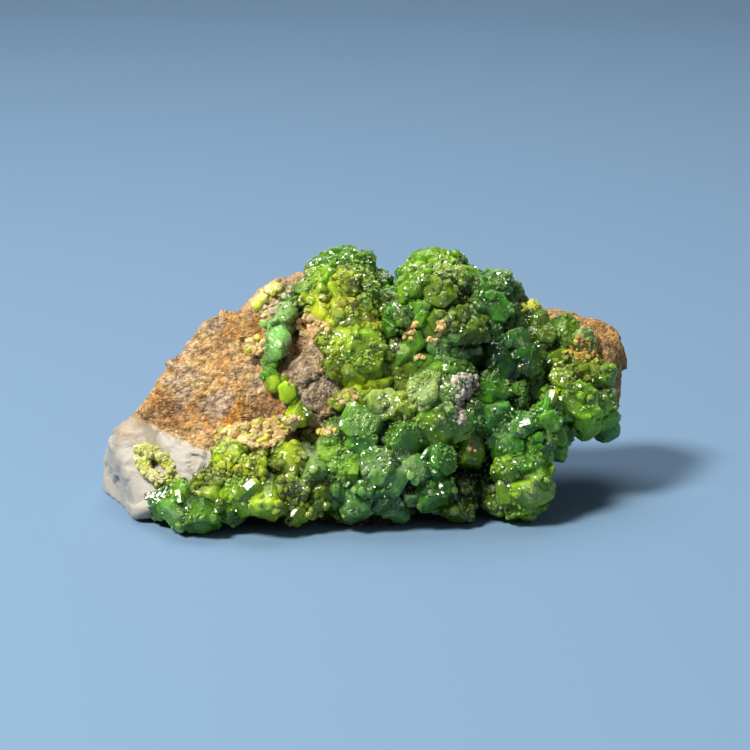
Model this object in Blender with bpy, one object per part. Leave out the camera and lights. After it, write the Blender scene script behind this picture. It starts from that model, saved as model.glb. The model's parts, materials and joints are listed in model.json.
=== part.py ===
# Pyromorphite specimen: green six-sided crystals on a brown and milky quartz rock.
# Lengths below are in millimetres and become metres when a mesh is made.
# X runs to the right, Y away from the viewer and Z up. The rock stands on Z = 0.
import math

import bpy
import bmesh
import numpy as np

for old in list(bpy.data.objects):
    bpy.data.objects.remove(old, do_unlink=True)

MM = 0.001

# Line of sight that the crystal lists are laid out along
SIGHT_DROP = math.radians(16.0)
SIGHT_MIDDLE = (1.6, 16.0)
SIGHT_PLANE = -7.7
EYE_DISTANCE = 320.0

ACROSS = np.array((1.0, 0.0, 0.0))
UPWARD = np.array((0.0, math.sin(SIGHT_DROP), math.cos(SIGHT_DROP)))
ONWARD = np.array((0.0, math.cos(SIGHT_DROP), -math.sin(SIGHT_DROP)))

# Rock
ROCK_CENTRE = np.array((-1.0, 2.5, 10.0))
ROCK_SPREAD = np.array((2.1, 1.25, 1.0))
ROCK_CUTS = 14
ROCK_BLEND = 0.75
ROCK_SEED = 5
SLAB_ROUNDING = 0.35

# middle, half sizes, roundness, lean back, lean right and yaw in degrees
ROCK_BLOCKS = (
    ((-1.0, 4.0, 9.5), (19.0, 10.5, 13.5), 3.0, -12.0, 0.0, 0.0),
    ((-5.8, -2.4, 15.0), (4.4, 5.2, 7.8), 2.5, -24.0, 0.0, 0.0),
    ((15.0, 6.5, 12.5), (8.5, 8.0, 10.0), 2.8, 0.0, 0.0, 0.0),
    ((26.0, 9.0, 14.6), (8.3, 6.8, 7.6), 2.5, 0.0, 14.0, 0.0),
)

# Flat-faced slabs: outline corners as seen from the front (across, up), how deep that
# outline lies, and further faces as a direction and a point on the face
LEFT_SLAB = (
    ((-22.0, 1.0), (-27.3, 10.8), (-26.5, 12.9), (-24.5, 16.8), (-22.1, 21.3), (-20.2, 23.6),
     (-14.0, 23.7)),
    -5.0,
    (((-0.15, -0.84, 0.52), (-16.6, -3.2, 15.7)), ((0.1, 0.98, 0.15), (-16.0, 9.5, 12.0)),
     ((0.9, -0.2, 0.3), (-7.0, 0.0, 14.0)), ((0.1, -0.62, -0.78), (-20.0, -8.6, 2.6))),
)
QUARTZ_TOE = (
    ((-33.6, 3.6), (-33.0, 6.9), (-30.9, 9.7), (-25.4, 13.6), (-20.0, 16.5)),
    -3.0,
    (((-0.92, -0.39, -0.10), (-29.2, -6.9, 0.0)), ((-0.97, 0.20, -0.15), (-34.2, 4.4, 1.4)),
     ((-0.34, -0.76, 0.55), (-27.0, -6.4, 6.5)), ((-0.2, 0.95, 0.2), (-24.0, 8.4, 6.0)),
     ((0.9, 0.0, 0.3), (-12.0, 0.0, 5.0)), ((0.1, -0.62, -0.78), (-24.0, -8.8, 1.4))),
)
BACK_LEDGE = (
    ((-14.8, 20.9), (-14.2, 22.8), (-12.6, 25.6), (-10.9, 27.2), (-8.6, 28.4), (-2.0, 28.6)),
    6.0,
    (((-0.15, -0.90, 0.40), (-11.0, 3.6, 25.5)), ((-0.1, 0.99, 0.05), (-9.0, 13.2, 14.0)),
     ((0.95, 0.0, 0.3), (-1.0, 8.0, 20.0))),
)

# middle, reach and depth of the hollows in the rock
ROCK_PITS = (
    ((-7.0, -7.0, 10.0), 2.2, 2.6),
    ((-8.3, -2.6, 20.8), 1.9, 1.5),
    ((-13.2, -2.2, 20.0), 1.5, 1.2),
    ((16.0, 8.0, 25.0), 4.5, 3.0),
    ((3.0, 15.0, 17.0), 5.0, 1.8),
    ((-2.5, 13.0, 25.0), 4.0, 2.0),
    ((15.0, 15.0, 9.0), 4.0, 1.6),
)

# Crust
BED_GAP = 0.3
FLOOR_GAP = 0.2
LINK_RADIUS = 1.3
FINE_BED = 6.5
CRUST_SEED = 11

# middle and half sizes of the swellings that the crystals stand on
CRUST_BEDS = (
    ((-2.3, 3.0, 22.0), (4.0, 5.4, 7.4)),
    ((-0.6, -1.4, 17.2), (4.4, 4.6, 5.6)),
    ((9.2, 2.0, 20.9), (6.2, 6.2, 8.2)),
    ((15.6, 4.4, 20.2), (2.6, 5.0, 6.6)),
    ((3.6, 4.2, 20.6), (4.5, 5.2, 4.8)),
    ((10.4, -3.6, 13.4), (6.6, 4.8, 6.0)),
    ((15.8, -2.4, 11.2), (4.2, 4.6, 5.0)),
    ((1.6, -5.6, 11.2), (6.4, 4.8, 5.2)),
    ((2.0, -7.6, 6.2), (9.2, 4.4, 4.6)),
    ((-11.6, -8.8, 4.8), (8.6, 4.2, 4.2)),
    ((-19.6, -10.4, 2.8), (3.8, 3.0, 2.4)),
    ((19.5, -6.5, 4.9), (2.9, 3.5, 4.4)),
    ((20.2, -4.0, 9.4), (3.4, 4.2, 4.0)),
    ((25.4, 3.2, 13.2), (5.0, 4.3, 5.0)),
    ((23.4, 5.2, 17.8), (3.4, 3.4, 3.4)),
    ((-7.4, 3.4, 25.2), (1.8, 3.4, 2.8)),
    ((-9.4, 1.6, 23.0), (1.4, 3.2, 2.4)),
    ((-10.4, -1.2, 20.4), (1.3, 2.8, 2.6)),
    ((12.6, -7.0, 3.6), (2.6, 2.6, 3.0)),
    ((17.6, 0.6, 17.0), (3.8, 3.4, 4.4)),
)

# Crystals seen from the front: across, up, width, length, lean right, lean up
CROWN = (
    (-5.0, 30.2, 3.8, 4.6, -0.5, 0.9), (-3.4, 31.2, 3.2, 4.6, -0.1, 1.2),
    (-1.6, 31.2, 3.8, 5.0, 0.2, 1.2), (-0.2, 29.8, 4.0, 4.6, 0.5, 0.9),
    (-3.4, 28.8, 4.2, 4.4, 0.0, 0.2), (-6.3, 28.2, 3.6, 4.2, -0.7, 0.2),
    (-0.8, 27.2, 4.4, 4.4, 0.3, 0.1), (-6.3, 25.4, 3.6, 4.0, -0.5, 0.0),
    (-3.2, 25.6, 4.2, 4.4, -0.1, 0.0), (0.3, 24.6, 4.2, 4.4, 0.3, 0.1),
    (-5.6, 22.9, 4.2, 4.2, -0.3, -0.1), (-2.4, 22.6, 4.4, 4.4, 0.1, 0.0),
    (2.2, 23.0, 4.6, 4.8, 0.3, 0.1), (-3.9, 20.0, 4.2, 4.4, -0.3, -0.1),
    (0.2, 19.2, 5.2, 5.0, 0.1, -0.2), (-2.8, 17.3, 4.2, 4.4, -0.3, -0.3),
    (-0.2, 15.8, 4.2, 4.4, 0.0, -0.4), (2.2, 16.4, 3.6, 3.8, 0.2, 0.0),
    (1.0, 28.6, 3.6, 4.4, 0.3, 0.8), (4.0, 27.2, 4.6, 4.8, 0.0, 0.6),
    (4.2, 24.4, 4.2, 4.4, 0.1, 0.1), (3.6, 21.2, 3.4, 4.6, 0.1, -0.1),
    (4.8, 18.6, 3.4, 3.8, 0.5, 0.2),
)
DOME = (
    (9.6, 30.2, 4.4, 5.0, 0.0, 1.0), (6.9, 28.8, 4.2, 4.8, -0.6, 0.7),
    (12.7, 29.2, 4.4, 5.0, 0.3, 0.8), (10.1, 27.6, 4.4, 4.6, 0.0, 0.1),
    (7.0, 26.0, 4.4, 4.6, -0.3, 0.1), (15.2, 28.4, 3.4, 4.6, 0.1, 0.7),
    (17.4, 28.3, 4.4, 5.4, 0.2, 1.0), (18.2, 25.6, 4.4, 4.6, 0.4, 0.1),
    (10.2, 24.6, 4.4, 4.4, 0.0, 0.0), (14.4, 25.4, 4.8, 4.8, 0.0, 0.1),
    (12.6, 22.4, 4.4, 6.6, 0.0, -0.8), (7.2, 22.9, 4.2, 4.4, -0.2, 0.0),
    (9.6, 21.4, 4.0, 4.4, 0.0, -0.2), (7.0, 19.9, 4.0, 4.2, -0.2, 0.0),
    (9.8, 18.8, 4.2, 4.4, 0.0, 0.1), (12.5, 18.4, 4.0, 4.6, 0.2, -0.3),
    (8.2, 16.2, 3.6, 5.4, 2.0, 0.0), (4.6, 15.2, 4.0, 4.2, -0.2, 0.0),
    (16.6, 22.6, 4.2, 4.6, 0.1, -0.1), (19.2, 22.0, 4.0, 4.6, 0.3, 0.0),
    (19.0, 19.5, 4.0, 4.4, 0.2, -0.3), (15.3, 19.6, 4.4, 4.6, 0.0, 0.0),
    (17.2, 17.2, 4.4, 4.6, 0.0, 0.0), (20.8, 17.4, 4.4, 4.6, 0.1, 0.0),
)
MIDDLE = (
    (-0.5, 13.2, 3.8, 4.4, -0.4, 0.0), (2.2, 13.6, 4.2, 4.4, 0.0, 0.1),
    (4.4, 11.8, 4.2, 4.4, 0.1, 0.0), (8.1, 13.3, 4.6, 4.8, -0.2, 0.4),
    (11.2, 14.4, 4.4, 4.6, 0.1, 0.2), (9.2, 10.2, 5.2, 5.8, 0.0, -0.7),
    (11.8, 10.4, 3.8, 4.8, 0.2, -0.6), (15.6, 14.0, 4.4, 4.8, 0.1, 0.3),
    (16.4, 11.0, 4.2, 5.4, 0.2, -0.6), (13.1, 7.2, 5.0, 6.6, 0.0, -1.2),
    (21.6, 14.8, 4.4, 4.6, 0.0, 0.3), (19.4, 12.4, 4.2, 4.4, -0.1, 0.1),
    (20.4, 9.6, 4.4, 4.8, -0.1, 0.0), (23.6, 10.4, 4.4, 4.8, 0.4, 0.0),
    (18.9, 6.8, 4.4, 4.8, -0.1, 0.0), (22.8, 7.0, 4.2, 4.6, 0.4, -0.1),
)
RIGHT = (
    (24.8, 21.2, 4.4, 5.2, 1.0, -0.3), (27.0, 20.0, 3.6, 4.4, 0.8, -0.3),
    (21.6, 22.4, 3.6, 4.4, 0.0, 0.4), (22.6, 19.6, 3.8, 4.4, -0.1, 0.0),
    (25.6, 17.4, 4.4, 4.6, 0.0, 0.0), (28.6, 16.6, 4.2, 4.6, 0.4, 0.1),
    (24.4, 14.4, 4.2, 4.6, -0.4, 0.1), (27.2, 13.2, 4.8, 5.0, 0.0, -0.1),
    (30.3, 13.4, 4.4, 4.8, 0.5, 0.0), (29.9, 10.8, 4.2, 4.8, 0.3, -0.4),
    (27.4, 10.2, 3.8, 4.8, 0.0, -0.7), (30.9, 9.6, 3.4, 4.8, 0.4, -0.8),
    (24.8, 10.0, 4.0, 4.6, 0.0, -0.4),
)
APRON = (
    (-3.4, 8.3, 4.2, 4.4, -0.3, 0.1), (-6.0, 7.0, 3.8, 4.4, -0.4, 0.1),
    (-6.4, 4.4, 4.4, 6.0, -0.1, -1.2), (-3.6, 5.2, 3.6, 4.8, -0.1, -0.3),
    (-1.6, 5.3, 3.8, 5.8, 0.0, -1.4), (0.4, 9.2, 4.8, 5.0, -0.1, 0.1),
    (4.5, 7.8, 5.2, 5.2, 0.3, 0.0), (2.0, 4.8, 4.4, 5.0, 0.0, 0.0),
    (5.4, 3.9, 4.4, 4.8, 0.1, 0.0), (8.6, 5.2, 4.4, 5.6, 0.5, -0.2),
    (8.2, 1.8, 4.4, 5.6, 0.2, -1.0), (-0.3, 1.2, 4.4, 6.2, 0.0, -1.4),
    (-3.2, -0.4, 4.8, 5.8, 0.0, -0.9), (4.0, 0.4, 3.6, 5.4, -0.2, -1.4),
    (-3.4, 2.6, 3.8, 4.8, 0.0, -0.8),
)
FRINGE = (
    (-15.9, 5.2, 4.4, 5.0, -0.4, 0.0), (-12.7, 6.0, 4.2, 4.8, 0.0, 0.4),
    (-9.3, 5.2, 4.4, 5.2, 0.4, -0.6), (-14.8, 1.6, 4.4, 6.0, -0.6, -1.2),
    (-11.7, 0.9, 4.8, 6.0, 0.0, -1.2), (-8.4, 0.4, 3.4, 5.2, 0.2, -1.3),
    (-18.7, 2.2, 4.4, 5.8, 0.0, -1.2), (-22.0, 0.8, 3.8, 4.6, -0.6, 0.0),
    (-22.8, -1.6, 4.2, 4.8, -0.5, -0.2), (-20.2, -2.0, 4.6, 5.0, 0.2, -0.4),
    (-17.2, -0.4, 3.8, 4.8, 0.3, -0.6), (-5.8, 1.6, 3.8, 4.6, 0.2, -0.8),
)
COLUMN = (
    (18.2, 3.0, 3.6, 6.2, -0.1, 1.4), (22.0, 4.3, 4.0, 4.6, 0.3, 0.2),
    (22.6, 1.7, 4.4, 4.6, 0.6, 0.0), (20.0, 1.0, 4.0, 4.8, 0.0, 0.0),
    (17.8, -1.0, 4.2, 5.4, -0.4, -1.0), (20.8, -0.8, 4.2, 5.0, 0.2, -0.8),
    (12.4, -0.4, 4.2, 5.6, 0.0, -1.0), (15.5, 2.4, 4.2, 4.8, 0.0, 0.0),
)
STREAK = (
    (-7.6, 27.0, 2.6, 3.4, -0.2, 0.2), (-8.9, 24.9, 2.6, 3.4, -0.2, 0.2),
    (-10.2, 22.9, 2.6, 3.2, -0.2, 0.1), (-10.9, 20.9, 2.6, 3.2, 0.0, 0.0),
    (-11.2, 18.9, 2.6, 3.2, 0.0, 0.0), (-11.4, 16.9, 2.6, 3.2, 0.0, -0.2),
    (-11.4, 14.9, 3.0, 3.8, 0.0, -0.2), (-9.4, 13.9, 2.4, 4.4, 2.4, 0.2),
    (-8.2, 11.5, 2.8, 4.8, 0.1, -2.2),
)
QUARTZ_PATCH = (
    (-27.4, 6.5, 2.1, 2.4, 0.0, 0.0), (-26.0, 6.3, 2.0, 2.2, 0.0, 0.0),
    (-27.9, 5.1, 2.0, 2.2, 0.0, 0.0), (-26.6, 4.8, 2.1, 2.4, 0.0, 0.0),
    (-25.4, 3.4, 2.0, 2.4, 0.0, 0.0), (-24.3, 2.8, 2.0, 2.2, 0.0, 0.0),
    (-24.0, 4.1, 1.9, 2.2, 0.0, 0.0), (-26.8, 3.6, 1.9, 2.2, 0.0, 0.0),
    (-24.7, 5.6, 1.9, 2.2, 0.0, 0.0),
)
LEDGE = (
    (-10.9, 26.9, 1.8, 2.3, 0.0, 0.4), (-11.9, 26.7, 1.9, 2.3, 0.0, 0.3),
    (-12.6, 25.7, 1.9, 2.3, -0.2, 0.2), (-13.3, 24.6, 2.0, 2.3, -0.2, 0.0),
)

# Crystals on the sides that face away, set out by chance on the same beds
HIDDEN_TRIES = 900
HIDDEN_SPACING = 4.4
HIDDEN_WIDTH = (4.2, 5.4)
BEVEL_WIDTH = 4.3
KEPT_SHARE = 0.62

COLOURS = {
    "matrix_rock": ((0.40, 0.27, 0.16), 0.85),
    "pyromorphite_crust": ((0.20, 0.40, 0.05), 0.35),
    "patch_crystals": ((0.55, 0.60, 0.12), 0.45),
    "ledge_crystals": ((0.68, 0.60, 0.34), 0.55),
}


def unit(vectors):
    return vectors / np.linalg.norm(vectors, axis=-1, keepdims=True)


def turned(back, right, yaw):
    """Rotation of a block that leans back, leans right and is turned."""
    angles = [math.radians(angle) for angle in (back, right, yaw)]
    cx, cy, cz = (math.cos(angle) for angle in angles)
    sx, sy, sz = (math.sin(angle) for angle in angles)
    about_x = np.array(((1, 0, 0), (0, cx, -sx), (0, sx, cx)))
    about_y = np.array(((cy, 0, sy), (0, 1, 0), (-sy, 0, cy)))
    about_z = np.array(((cz, -sz, 0), (sz, cz, 0), (0, 0, 1)))
    return about_z @ about_x @ about_y


def block_gap(points, middle, half, roundness, turn):
    """Distance from points to a rounded block, negative inside it."""
    local = (points - middle) @ turn
    ratio = np.maximum(np.abs(local) / half, 1e-6)
    level = (ratio ** roundness).sum(axis=-1) ** (1.0 / roundness)
    slope = np.linalg.norm(ratio ** (roundness - 1.0) / half, axis=-1)
    return (level - 1.0) * level ** (roundness - 1.0) / slope


def slab_planes(corners, depth, flats):
    """Directions and offsets of a slab's faces; outline faces follow the line of sight."""
    middle = np.array(SIGHT_MIDDLE)
    scale = (depth - SIGHT_PLANE + EYE_DISTANCE) / EYE_DISTANCE
    corners = middle + (np.array(corners) - middle) * scale
    directions, places = [], []
    for one, two in zip(corners[:-1], corners[1:]):
        edge = unit(two - one)
        directions.append(0.996 * (-edge[1] * ACROSS + edge[0] * UPWARD) + 0.087 * ONWARD)
        places.append(one[0] * ACROSS + one[1] * UPWARD + depth * ONWARD)
    for direction, place in flats:
        directions.append(unit(np.array(direction)))
        places.append(np.array(place))
    directions = np.array(directions)
    return directions, (directions * np.array(places)).sum(axis=1)


def slab_gap(points, directions, offsets):
    """Distance to a slab of flat faces with slightly rounded edges."""
    levels = points @ directions.T - offsets
    highest = levels.max(axis=-1)
    spread = np.exp((levels - highest[..., None]) / SLAB_ROUNDING).sum(axis=-1)
    return highest + SLAB_ROUNDING * np.log(spread)


def blended(gaps, softness):
    """One distance from several, rounded over where they meet."""
    nearest = gaps.min(axis=0)
    return nearest - softness * np.log(np.exp((nearest - gaps) / softness).sum(axis=0))


def rough_waves():
    """Direction, phase and height of the waves that roughen the rock."""
    rng = np.random.default_rng(ROCK_SEED)
    pitch = np.repeat((15.0, 9.0), 8)
    height = np.repeat((0.11, 0.08), 8)
    direction = unit(rng.normal(size=(pitch.size, 3))) * (2.0 * math.pi / pitch)[:, None]
    return direction, rng.uniform(0.0, 2.0 * math.pi, pitch.size), height


WAVES = rough_waves()
SLABS = [slab_planes(*slab) for slab in (LEFT_SLAB, QUARTZ_TOE, BACK_LEDGE)]
BLOCKS = [
    (np.array(middle), np.array(half), roundness, turned(back, right, yaw))
    for middle, half, roundness, back, right, yaw in ROCK_BLOCKS
]


def rock_gap(points):
    """Distance to the rock: blended slabs and blocks, roughened and pitted."""
    gaps = [slab_gap(points, *slab) for slab in SLABS]
    gaps += [block_gap(points, *block) for block in BLOCKS]
    gap = blended(np.array(gaps), ROCK_BLEND)
    direction, phase, height = WAVES
    gap = gap + np.sin(points @ direction.T + phase) @ height
    for middle, reach, depth in ROCK_PITS:
        off = np.linalg.norm(points - np.array(middle), axis=-1) / reach
        gap = gap + depth * np.exp(-off ** 2)
    return gap


def bed_gap(points):
    """Distance to the nearest crust bed."""
    straight = np.eye(3)
    gaps = [
        block_gap(points, np.array(middle), np.array(half), 2.0, straight)
        for middle, half in CRUST_BEDS
    ]
    return np.array(gaps).min(axis=0)


def seat_gap(points):
    return np.minimum(rock_gap(points), bed_gap(points))


def normals(gap, points):
    """Outward direction of a distance field at points."""
    step = 0.15
    parts = [gap(points + step * axis) - gap(points - step * axis) for axis in np.eye(3)]
    return unit(np.stack(parts, axis=-1))


def add_mesh(name, points, faces):
    mesh = bpy.data.meshes.new(name)
    mesh.from_pydata((points * MM).tolist(), [], faces)
    mesh.update()
    thing = bpy.data.objects.new(name, mesh)
    bpy.context.scene.collection.objects.link(thing)
    return thing


def rock_mesh(name, grow, floor):
    """Rock skin: a subdivided cube pushed in along rays until it meets the rock."""
    form = bmesh.new()
    bmesh.ops.create_cube(form, size=2.0)
    bmesh.ops.subdivide_edges(form, edges=form.edges[:], cuts=ROCK_CUTS - 1, use_grid_fill=True)
    bmesh.ops.triangulate(form, faces=form.faces[:])
    form.verts.ensure_lookup_table()
    cube = np.array([vert.co[:] for vert in form.verts])
    faces = [[vert.index for vert in face.verts] for face in form.faces]
    form.free()
    rays = unit(unit(np.tan(cube * 0.785)) * ROCK_SPREAD)
    reach = np.full(len(rays), 60.0)
    for _ in range(140):
        reach -= 0.6 * (rock_gap(ROCK_CENTRE + rays * reach[:, None]) - grow)
    points = ROCK_CENTRE + rays * reach[:, None]
    low = points[:, 2] < floor
    reach[low] = (floor - ROCK_CENTRE[2]) / rays[low, 2]
    points = ROCK_CENTRE + rays * reach[:, None]
    points[low, 2] = floor
    return add_mesh(name, points, faces)


def seats(rows):
    """Where the line of sight through each row meets the rock or a bed."""
    spots = np.array([row[:2] for row in rows])
    eye = SIGHT_MIDDLE[0] * ACROSS + SIGHT_MIDDLE[1] * UPWARD
    eye = eye + (SIGHT_PLANE - EYE_DISTANCE) * ONWARD
    aims = spots[:, :1] * ACROSS + spots[:, 1:] * UPWARD + SIGHT_PLANE * ONWARD
    rays = unit(aims - eye)
    reach = np.full(len(rays), EYE_DISTANCE - 60.0)
    best = reach.copy()
    least = np.full(len(rays), 1e9)
    for _ in range(120):
        gap = seat_gap(eye + rays * reach[:, None])
        closer = gap < least
        least[closer] = gap[closer]
        best[closer] = reach[closer]
        reach += np.where(gap > 0.02, 0.6 * gap, 0.0)
    points = eye + rays * best[:, None]
    outward = normals(seat_gap, points)
    missed = np.maximum(least, 0.0)[:, None]
    return points - outward * missed, outward


def hidden_rows():
    """Seats by chance on the beds, only where the surface faces away."""
    rng = np.random.default_rng(CRUST_SEED + 1)
    kept = []
    for _ in range(HIDDEN_TRIES):
        middle, half = CRUST_BEDS[rng.integers(len(CRUST_BEDS))]
        point = np.array(middle) + unit(rng.normal(size=3)) * np.array(half)
        outward = normals(seat_gap, point[None])[0]
        buried = seat_gap(point[None])[0] < -0.3
        if buried or outward @ ONWARD < 0.12 or outward[2] < -0.3 or point[2] < 9.0:
            continue
        if kept and min(np.linalg.norm(point - spot) for spot, _ in kept) < HIDDEN_SPACING:
            continue
        kept.append((point, outward))
    return kept


def hexagon(rng):
    """Six-sided outline of about unit radius, its sides slightly uneven."""
    angles = np.arange(6) * math.pi / 3.0
    reach = 0.87 * rng.uniform(0.9, 1.1, 6)
    corners = []
    for i in range(6):
        j = (i + 1) % 6
        sides = np.array(((math.cos(angles[i]), math.sin(angles[i])),
                          (math.cos(angles[j]), math.sin(angles[j]))))
        corners.append(np.linalg.solve(sides, np.array((reach[i], reach[j]))))
    return np.array(corners)


def crystal(width, length, middle, axis, rng):
    """Barrel-shaped prism with bevelled, flat ends, standing along an axis."""
    outline = hexagon(rng) * width / 2.0
    if width > BEVEL_WIDTH:
        rings = ((-0.5, 0.84), (0.26, 1.0), (0.5, 0.6))
    else:
        rings = ((-0.5, 0.84), (0.42, 1.0))
    side = unit(np.cross(axis, unit(rng.normal(size=3))))
    other = np.cross(axis, side)
    points = [
        middle + (height * length) * axis
        + scale * (outline[:, :1] * side + outline[:, 1:] * other)
        for height, scale in rings
    ]
    faces = [list(range(5, -1, -1)), [6 * (len(rings) - 1) + i for i in range(6)]]
    for ring in range(len(rings) - 1):
        for i in range(6):
            j = (i + 1) % 6
            faces.append([6 * ring + i, 6 * ring + j, 6 * ring + 6 + j, 6 * ring + 6 + i])
    points = np.concatenate(points)
    points[:, 2] += max(0.0, FLOOR_GAP - points[:, 2].min())
    return points, faces


def crystal_set(rows, rng, sunk):
    """Crystals for rows of a list, each seated on the rock or a bed."""
    points, outward = seats(rows)
    made = []
    for row, point, normal in zip(rows, points, outward):
        axis = unit(normal + row[4] * ACROSS + row[5] * UPWARD)
        made.append(crystal(row[2], row[3], point + normal * (0.5 - sunk) * row[3], axis, rng))
    return made


def ball_shape(detail):
    """Faceted ball of unit radius; the coarse one is a little larger to hold its volume."""
    form = bmesh.new()
    bmesh.ops.create_icosphere(form, subdivisions=detail, radius=1.0 if detail > 1 else 1.12)
    ball = np.array([vert.co[:] for vert in form.verts])
    faces = [[vert.index for vert in face.verts] for face in form.faces]
    form.free()
    return ball, faces


def bed_shapes():
    """Ball-like beds under the crystals."""
    made = []
    for middle, half in CRUST_BEDS:
        ball, faces = ball_shape(2 if max(half) > FINE_BED else 1)
        points = np.array(middle) + ball * np.array(half)
        points[:, 2] += max(0.0, FLOOR_GAP - points[:, 2].min())
        made.append((points, faces))
    return made


def streak_links():
    """Small lumps between neighbouring streak crystals, so that they are one growth."""
    ball, faces = ball_shape(1)
    points, outward = seats(STREAK)
    middles = 0.5 * (points[1:] + points[:-1]) + 0.3 * (outward[1:] + outward[:-1])
    return [(middle + LINK_RADIUS * ball, faces) for middle in middles]


def joined(name, shapes):
    points, faces, start = [], [], 0
    for shape_points, shape_faces in shapes:
        points.append(shape_points)
        faces += [[start + index for index in face] for face in shape_faces]
        start += len(shape_points)
    return add_mesh(name, np.concatenate(points), faces)


def largest_skin(form):
    """Vertices of the biggest connected skin."""
    left = set(form.verts)
    best = []
    while left:
        skin = [left.pop()]
        for vert in skin:
            for edge in vert.link_edges:
                other = edge.other_vert(vert)
                if other in left:
                    left.remove(other)
                    skin.append(other)
        if len(skin) > len(best):
            best = skin
    return set(best)


def fused(name, shapes, cutter):
    """Overlapping shapes become one skin, cleared of the rock under them."""
    loose = joined(name + "_loose", shapes)
    cut = loose.modifiers.new("clear of the rock", "BOOLEAN")
    cut.operation = "DIFFERENCE"
    cut.solver = "EXACT"
    cut.use_self = True
    cut.object = cutter
    thin = loose.modifiers.new("drop needless edges", "DECIMATE")
    thin.ratio = KEPT_SHARE
    view = bpy.context.evaluated_depsgraph_get()
    mesh = bpy.data.meshes.new_from_object(loose.evaluated_get(view))
    bpy.data.objects.remove(loose, do_unlink=True)
    form = bmesh.new()
    form.from_mesh(mesh)
    kept = largest_skin(form)
    bmesh.ops.delete(form, geom=[vert for vert in form.verts if vert not in kept], context="VERTS")
    form.to_mesh(mesh)
    form.free()
    mesh.name = name
    thing = bpy.data.objects.new(name, mesh)
    bpy.context.scene.collection.objects.link(thing)
    return thing


def centred(things):
    """Shifts the whole specimen so that the middle of its base outline is the origin."""
    points = np.array([vert.co[:] for thing in things for vert in thing.data.vertices])
    middle = 0.5 * (points.min(axis=0) + points.max(axis=0))
    for thing in things:
        for vert in thing.data.vertices:
            vert.co.x -= middle[0]
            vert.co.y -= middle[1]


def painted(thing):
    colour, roughness = COLOURS[thing.name]
    material = bpy.data.materials.new(thing.name)
    material.use_nodes = True
    shader = material.node_tree.nodes["Principled BSDF"]
    shader.inputs["Base Color"].default_value = (*colour, 1.0)
    shader.inputs["Roughness"].default_value = roughness
    shader.inputs["Metallic"].default_value = 0.0
    thing.data.materials.append(material)


rock = rock_mesh("matrix_rock", 0.0, 0.0)
clearance = rock_mesh("rock_clearance", BED_GAP, -BED_GAP)
clearance.hide_render = True
clearance.display_type = "WIRE"

chance = np.random.default_rng(CRUST_SEED)
front = CROWN + DOME + MIDDLE + RIGHT + APRON + FRINGE + COLUMN + STREAK
crust_shapes = bed_shapes() + streak_links() + crystal_set(front, chance, 0.38)
for spot, facing in hidden_rows():
    width = chance.uniform(*HIDDEN_WIDTH)
    crust_shapes.append(crystal(width, 1.1 * width, spot + 0.1 * width * facing, facing, chance))

crust = fused("pyromorphite_crust", crust_shapes, clearance)
patch = fused("patch_crystals", crystal_set(QUARTZ_PATCH, chance, 0.3), clearance)
ledge = fused("ledge_crystals", crystal_set(LEDGE, chance, 0.3), clearance)
pieces = (rock, crust, patch, ledge)
centred(pieces)
for piece in pieces:
    painted(piece)
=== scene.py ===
# Pyromorphite specimen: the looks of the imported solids.
# Lengths are in millimetres until a mesh is made.
import json
import math

import bpy
import numpy as np
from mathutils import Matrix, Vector

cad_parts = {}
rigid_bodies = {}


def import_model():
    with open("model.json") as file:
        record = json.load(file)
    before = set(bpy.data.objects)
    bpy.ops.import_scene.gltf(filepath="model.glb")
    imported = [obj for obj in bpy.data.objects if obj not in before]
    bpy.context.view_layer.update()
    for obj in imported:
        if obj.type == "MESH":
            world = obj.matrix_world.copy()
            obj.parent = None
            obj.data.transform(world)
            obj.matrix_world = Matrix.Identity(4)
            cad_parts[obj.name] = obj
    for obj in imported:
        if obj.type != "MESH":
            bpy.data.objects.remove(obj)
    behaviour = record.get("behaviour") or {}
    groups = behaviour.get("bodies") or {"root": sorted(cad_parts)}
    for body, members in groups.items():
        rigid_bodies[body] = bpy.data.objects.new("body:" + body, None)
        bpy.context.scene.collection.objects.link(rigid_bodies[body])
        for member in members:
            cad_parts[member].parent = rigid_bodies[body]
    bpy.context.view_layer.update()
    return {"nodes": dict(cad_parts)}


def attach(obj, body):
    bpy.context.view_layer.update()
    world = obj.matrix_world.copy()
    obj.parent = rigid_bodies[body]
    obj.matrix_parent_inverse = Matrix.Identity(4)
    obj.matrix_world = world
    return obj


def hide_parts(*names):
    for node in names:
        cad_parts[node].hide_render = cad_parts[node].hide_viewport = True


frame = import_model()
print("frame loaded:", sorted(frame["nodes"]))

mm = 0.001

# line of sight that the crystal rows are laid out along, and the camera looks along
sight = {
    "drop": 16.0,             # degrees below level
    "middle": (1.6, 16.0),    # across and up
    "plane": -7.7,            # where the rows' across and up are measured
    "distance": 320.0,
    "lens": 122.2,
}
# the solids stand with the middle of their base outline on the origin
shift = np.array((-0.192, 0.479, 0.0))

drop = math.radians(sight["drop"])
across = np.array((1.0, 0.0, 0.0))
upward = np.array((0.0, math.sin(drop), math.cos(drop)))
onward = np.array((0.0, math.cos(drop), -math.sin(drop)))
eye = sight["middle"][0] * across + sight["middle"][1] * upward
eye = eye + (sight["plane"] - sight["distance"]) * onward


def unit(vectors):
    # each vector over its own length
    return vectors / np.linalg.norm(vectors, axis=-1, keepdims=True)


def sighted(points):
    # across and up of points as the camera sees them, on the plane of the crystal rows
    off = points - eye
    scale = sight["distance"] / (off @ onward)
    return off @ across * scale + sight["middle"][0], off @ upward * scale + sight["middle"][1]


def smooth(value):
    # an even S from 0 to 1: three squares less two cubes
    value = np.clip(value, 0.0, 1.0)
    return value * value * (3.0 - 2.0 * value)


def blended(first, second, share):
    # first plus a share of the way to second
    return first + (second - first) * np.asarray(share)[..., None]


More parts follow.
